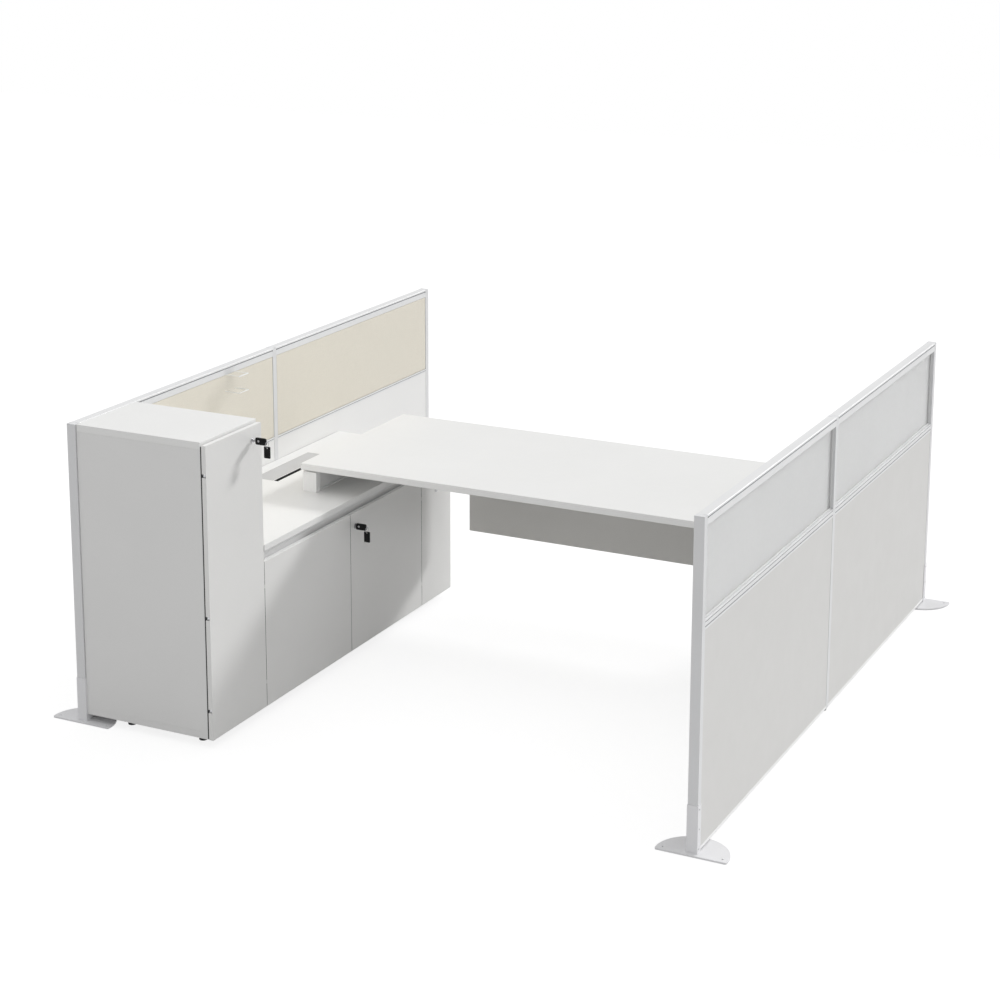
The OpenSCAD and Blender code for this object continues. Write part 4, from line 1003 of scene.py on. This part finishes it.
def pot_edges():
    (_, y0, foot_z), (x1, y1, _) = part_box("pen_pot")
    x0, rim_z = X_LEFT + POT_BACK_GAP, foot_z + POT_H
    rim = ((x0, x1, y0, y0 + POT_WALL), (x0, x1, y1 - POT_WALL, y1),
           (x1 - POT_WALL, x1, y0 + POT_WALL, y1 - POT_WALL))
    sides = ((x0, x1, y0 - POT_FOOT_PROUD, y0 + POT_FOOT_SUNK),
             (x0, x1, y1 - POT_FOOT_SUNK, y1 + POT_FOOT_PROUD))
    front = ((x1 - POT_FOOT_SUNK, x1 + POT_FOOT_PROUD, y0, y1),)
    levels = ((rim, rim_z - POT_SUNK, rim_z + POT_RIM_PROUD), (sides, foot_z, foot_z + POT_FOOT_H),
              (front, foot_z, foot_z + POT_FOOT_H), (front, rim_z - POT_FRONT_H, rim_z + POT_RIM_PROUD))
    bm = bmesh.new()
    for bars, low, high in levels:
        for xa, xb, ya, yb in bars:
            add_box(bm, (xa, ya, low), (xb, yb, high), POT_ROUNDING)
    # pale strips: painted highlight of the pot's edges
    piece("pot_edges", bm, "trim")


pot_edges()

# Clear door buffers on the carcass edges
BUFFER_SUNK, BUFFER_IN, BUFFER_SIDES = 0.0005, 0.009, 24
BUFFER_PROFILE = [(0, 0.004), (0.0015, 0.0038), (0.0024, 0.0022)]
TALL_BUFFER_HEIGHTS = (0.10, 0.55, 1.02)
LOW_BUFFER_HEIGHTS = (0.09, 0.54)


def door_buffers():
    bm = bmesh.new()
    for edge, heights in ((TALL_Y1, TALL_BUFFER_HEIGHTS), (LOW_Y1, LOW_BUFFER_HEIGHTS)):
        for z in heights:
            add_turned(bm, (TALL_X1 - BUFFER_SUNK, edge - BUFFER_IN, z), "x", BUFFER_PROFILE, BUFFER_SIDES)
    piece("door_buffers", bm, "clear_plastic", smooth=True)


door_buffers()

# Floor: it takes light and shadow as a pale floor, and the camera and reflections see it nearly white
FLOOR_HALF, FLOOR_CELLS = 14, 8
FLOOR_GREY, FLOOR_PALE = (0.72, 0.72, 0.72, 1), (0.95, 0.95, 0.95, 1)
FLOOR_GLOW, FLOOR_GLOW_SHARE = 1.14, 0.72
WHITE = (1, 1, 1, 1)


def add_node(tree, kind, **values):
    made = tree.nodes.new(kind)
    for name, value in values.items():
        made.inputs[name].default_value = value
    return made


def mix_shaders(tree, first, second):
    """A Mix Shader node of two shaders, whose factor is set or linked by the caller."""
    mix = tree.nodes.new("ShaderNodeMixShader")
    tree.links.new(first.outputs[0], mix.inputs[1])
    tree.links.new(second.outputs[0], mix.inputs[2])
    return mix


def larger(tree, a, b):
    made = tree.nodes.new("ShaderNodeMath")
    made.operation = "MAXIMUM"
    tree.links.new(a, made.inputs[0])
    tree.links.new(b, made.inputs[1])
    return made.outputs[0]


def floor_material():
    material = bpy.data.materials.new("floor")
    material.use_nodes = True
    tree = material.node_tree
    tree.nodes.clear()
    rays = tree.nodes.new("ShaderNodeLightPath").outputs
    lit = add_node(tree, "ShaderNodeBsdfDiffuse", Color=FLOOR_GREY)
    pale = add_node(tree, "ShaderNodeBsdfDiffuse", Color=FLOOR_PALE)
    glow = add_node(tree, "ShaderNodeEmission", Color=WHITE, Strength=FLOOR_GLOW)
    seen = mix_shaders(tree, pale, glow)
    seen.inputs[0].default_value = FLOOR_GLOW_SHARE
    mix = mix_shaders(tree, lit, seen)
    clear = larger(tree, rays["Is Glossy Ray"], rays["Is Transmission Ray"])
    tree.links.new(larger(tree, rays["Is Camera Ray"], clear), mix.inputs[0])
    out = tree.nodes.new("ShaderNodeOutputMaterial")
    tree.links.new(mix.outputs[0], out.inputs["Surface"])
    return material


def add_floor():
    bm = bmesh.new()
    bmesh.ops.create_grid(bm, x_segments=FLOOR_CELLS, y_segments=FLOOR_CELLS, size=FLOOR_HALF)
    mesh = bpy.data.meshes.new("floor")
    bm.to_mesh(mesh)
    bm.free()
    floor = bpy.data.objects.new("floor", mesh)
    bpy.context.scene.collection.objects.link(floor)
    mesh.materials.append(floor_material())


add_floor()

# World: dim white light from all round, and white where the camera sees it
SKY_LIGHT, SKY_SEEN = 0.54, 1.0


def add_world():
    world = bpy.data.worlds.new("world")
    bpy.context.scene.world = world
    world.use_nodes = True
    tree = world.node_tree
    tree.nodes.clear()
    dim = add_node(tree, "ShaderNodeBackground", Color=WHITE, Strength=SKY_LIGHT)
    white = add_node(tree, "ShaderNodeBackground", Color=WHITE, Strength=SKY_SEEN)
    mix = mix_shaders(tree, dim, white)
    rays = tree.nodes.new("ShaderNodeLightPath").outputs
    tree.links.new(rays["Is Camera Ray"], mix.inputs[0])
    out = tree.nodes.new("ShaderNodeOutputWorld")
    tree.links.new(mix.outputs[0], out.inputs["Surface"])


add_world()

# Lamps: a soft key from behind on the right, and an even glow from above
ORIGIN = (0, 0, 0)
KEY_AT, KEY_STRENGTH, KEY_ANGLE = (4, 8, 4.5), 1.80, math.radians(10)
OVERHEAD_AT, OVERHEAD_POWER, OVERHEAD_SIZE = (0, 0, 8), 260, 12


def lamp(name, kind, energy, at, **values):
    """A lamp that faces the origin."""
    data = bpy.data.lights.new(name, kind)
    data.energy = energy
    for key, value in values.items():
        setattr(data, key, value)
    obj = bpy.data.objects.new(name, data)
    bpy.context.scene.collection.objects.link(obj)
    obj.location = at
    obj.rotation_euler = (Vector(ORIGIN) - Vector(at)).to_track_quat("-Z", "Y").to_euler()


lamp("key", "SUN", KEY_STRENGTH, KEY_AT, angle=KEY_ANGLE)
lamp("overhead", "AREA", OVERHEAD_POWER, OVERHEAD_AT, shape="SQUARE", size=OVERHEAD_SIZE)

bpy.context.scene.view_settings.view_transform = "Standard"
